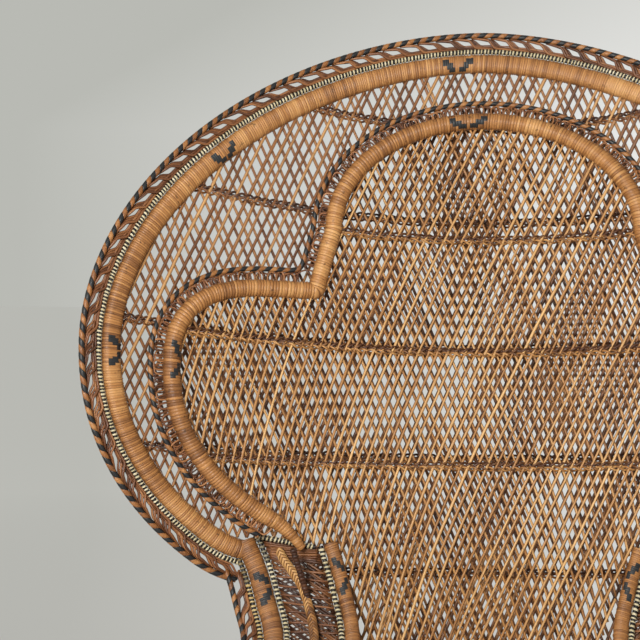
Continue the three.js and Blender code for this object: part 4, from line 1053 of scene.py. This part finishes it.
def pole(name, node, line, out, seed):
    """A peeled pole, slightly uneven, with the swollen joints of rattan."""
    m = Weave(seed)
    line = resample(line, step=POLE_STEP)
    s = np.arange(len(line)) * POLE_STEP
    size = 1 + 0.02 * np.sin(s * 31 + seed)
    tone = np.clip(0.55 + 0.2 * np.sin(s[:-1] * 13 + seed), 0, 1)
    for at in np.arange(0.04 + 0.013 * (seed % 5), s[-1], JOINTS):
        size = size + 0.06 * np.exp(-((s - at) / 0.004) ** 2) - 0.02 * np.exp(-((s - at - 0.008) / 0.003) ** 2)
        tone = np.where(np.abs(s[:-1] - at) < 0.0025, 0.05, tone)
    o, a = across(line, out)
    ang = 2 * np.pi * (np.arange(14) + .5) / 14
    r = (POLE_R * 0.95 * size)[:, None, None]
    ring = line[:, None] + a[:, None] * np.cos(ang)[None, :, None] * r + o[:, None] * np.sin(ang)[None, :, None] * r
    coord = np.stack(np.broadcast_arrays(s[:, None], ang[None] * POLE_R, 0.0), -1)
    m.grid(ring, coord, tone)
    m.build(name, POLE, "pole", node)


for k in range(3):
    low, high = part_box(f"seat_bar_{k + 1}")
    y, z = (low.y + high.y) / 2, (low.z + high.z) / 2
    pole(f"seat_bar_pole_{k + 1}", f"seat_bar_{k + 1}", [[low.x, y, z], [high.x, y, z]], UPRIGHT, 310 + k)

inset = POLE_R + 2 * FIT
foot_r = FOOT_R - FOOT_TUBE - inset
stations = ((foot_r, POLE_R), (foot_r, FOOT_TOP + POLE_R), (WAIST_R - WAIST_TUBE - inset, WAIST_Z),
            (SEAT_EDGE, SEAT_UNDER - POLE_R), (SEAT_EDGE, SEAT_UNDER))
for k in range(4):
    turn = 2 * np.pi * (k + 0.5) / 4
    way = np.array([math.sin(turn), -math.cos(turn), 0])
    line = smooth_through(np.array([AXIS + way * r + [0, 0, z] for r, z in stations]))
    pole(f"base_post_pole_{k + 1}", f"base_post_{k + 1}", line, way, 320 + k)


def base_net(name, node, z0, r0, z1, r1, seed):
    """Two crossing families round the base, with twined rows."""
    m = Weave(seed)
    share = np.linspace(0, 1, 34)
    for way, h in ((1, 0.0012), (-1, -0.0012)):
        for k in range(BASE_CANES):
            a = 2 * np.pi * k / BASE_CANES + way * 0.62 * share + m.rng.normal(0, 0.002)
            p = about_axis(a, r0 + (r1 - r0) * share + h, z0 + (z1 - z0) * share)
            out = np.stack([np.sin(a), -np.cos(a), 0 * a], -1)
            m.tube(p, out, 0.0017 * m.rng.uniform(0.88, 1.12), 0.0013, tone=(0.1, 0.95))
    for t in (0.035, 0.34, 0.66, 0.965):
        ring = circle(r0 + (r1 - r0) * t, z0 + (z1 - z0) * t)
        twined(m, ring, unit((ring - AXIS) * [1, 1, 0]))
    m.build(name, STRAW, "straw_cane", node)


base_net("base_upper_canes", "base_upper_net", WAIST_Z + WAIST_TUBE + FIT, WAIST_R, SEAT_UNDER, SEAT_R, 331)
base_net("base_lower_canes", "base_lower_net", FOOT_TOP, FOOT_R, WAIST_Z - WAIST_TUBE - FIT, WAIST_R, 332)


# Floor and world. What the camera sees of both is the pale wall, so they meet without a line.

# Painted light on the pale wall: brighter towards the right.
WALL_LEFT, WALL_RIGHT = lin(185, 186, 180), lin(231, 231, 228)
WALL_FROM, WALL_TO = -0.20, 0.14


def seen_by_camera(nt):
    """One where the ray comes from the camera, a mirror or glass."""
    path = new(nt, "ShaderNodeLightPath")
    straight = math_node(nt, "MAXIMUM", path.outputs["Is Camera Ray"], path.outputs["Is Glossy Ray"])
    return math_node(nt, "MAXIMUM", straight, path.outputs["Is Transmission Ray"])


def part_of(nt, vector, axis, *limits):
    """One axis of a vector, stretched from its limits."""
    parts = new(nt, "ShaderNodeSeparateXYZ")
    nt.links.new(vector, parts.inputs[0])
    return ranged(nt, parts.outputs[axis], *limits)


def wall_colour(nt, share):
    """The pale wall, brighter towards one side: painted light."""
    return ramp_of(nt, share, (0.0, WALL_LEFT), (1.0, WALL_RIGHT))


bpy.ops.mesh.primitive_plane_add(size=40, location=(0, 0, 0))
floor = bpy.context.object
floor.name = "floor"
paint = bpy.data.materials.new("floor_paint")
paint.use_nodes = True
nt = paint.node_tree
link = nt.links.new
surface = nt.nodes["Principled BSDF"]
surface.inputs["Base Color"].default_value = lin(216, 215, 210)
surface.inputs["Roughness"].default_value = 0.9
place = new(nt, "ShaderNodeTexCoord")
raised = new(nt, "ShaderNodeVectorMath", operation="ADD")
raised.inputs[1].default_value = (0, 0, 4.2)
link(place.outputs["Object"], raised.inputs[0])
towards = new(nt, "ShaderNodeVectorMath", operation="NORMALIZE")
link(raised.outputs[0], towards.inputs[0])
glow = new(nt, "ShaderNodeEmission")
link(wall_colour(nt, part_of(nt, towards.outputs[0], 0, WALL_FROM, WALL_TO)), glow.inputs[0])
link(part_of(nt, towards.outputs[0], 2, 0.90, 0.62, 1.0, 1.58), glow.inputs[1])
share = math_node(nt, "MULTIPLY", seen_by_camera(nt), 0.5)
link(blended(nt, share, surface.outputs[0], glow.outputs[0]), nt.nodes["Material Output"].inputs[0])
floor.data.materials.append(paint)
floor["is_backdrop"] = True

world = bpy.data.worlds.new("studio")
bpy.context.scene.world = world
world.use_nodes = True
nt = world.node_tree
nt.nodes.clear()
link = nt.links.new
light = new(nt, "ShaderNodeBackground", Color=(1.0, 0.98, 0.96, 1), Strength=0.24)
seen = new(nt, "ShaderNodeBackground")
way = new(nt, "ShaderNodeTexCoord").outputs["Generated"]
# Painted light: the wall also gets darker higher up.
wall_share = math_node(nt, "SUBTRACT", part_of(nt, way, 0, WALL_FROM, WALL_TO),
                       part_of(nt, way, 2, 0.05, 0.14, 0.0, 0.45))
link(wall_colour(nt, wall_share), seen.inputs[0])
mix = blended(nt, seen_by_camera(nt), light.outputs[0], seen.outputs[0])
link(mix, new(nt, "ShaderNodeOutputWorld").inputs[0])


# Lamps

def area(name, place, target, size, power, color):
    data = bpy.data.lights.new(name, "AREA")
    data.shape, data.size, data.energy, data.color = "DISK", size, power, color
    lamp = placed(name, data)
    lamp.location = place
    lamp.rotation_euler = (Vector(target) - Vector(place)).to_track_quat("-Z", "Y").to_euler()


area("key", (-1.0, -3.0, 1.95), (0, 0, 0.9), 0.7, 112, (1.0, 0.97, 0.93))
area("fill", (-2.8, -1.8, 1.8), (0, 0, 0.8), 2.4, 26, (0.95, 0.97, 1.0))
area("rim", (0.6, 3.0, 2.6), (0, 0, 0.9), 2.0, 30, (1.0, 1.0, 1.0))


# Camera. Its angles and its focal length, in pixels of a 640 pixel picture, were fitted to the photograph.

YAW, PITCH, ROLL = -0.0321, -0.0574, -0.0145
FOCAL_PIXELS, PICTURE_PIXELS, SENSOR = 1749.79, 640, 36
CAMERA_AT = (-0.1536, -2.4 + SHIFT, 1.1628)

forward = Vector((math.sin(YAW) * math.cos(PITCH), math.cos(YAW) * math.cos(PITCH), math.sin(PITCH)))
right = Vector((math.cos(YAW), -math.sin(YAW), 0))
above = right.cross(forward)
x_axis = right * math.cos(ROLL) - above * math.sin(ROLL)
y_axis = right * math.sin(ROLL) + above * math.cos(ROLL)
data = bpy.data.cameras.new("camera")
data.sensor_width = SENSOR
data.lens = SENSOR * FOCAL_PIXELS / PICTURE_PIXELS
camera = placed("camera", data)
turned = Matrix((x_axis, y_axis, -forward)).transposed().to_4x4()
camera.matrix_world = Matrix.Translation(CAMERA_AT) @ turned
bpy.context.scene.camera = camera
bpy.context.scene.view_settings.view_transform = "Standard"

low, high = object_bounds()
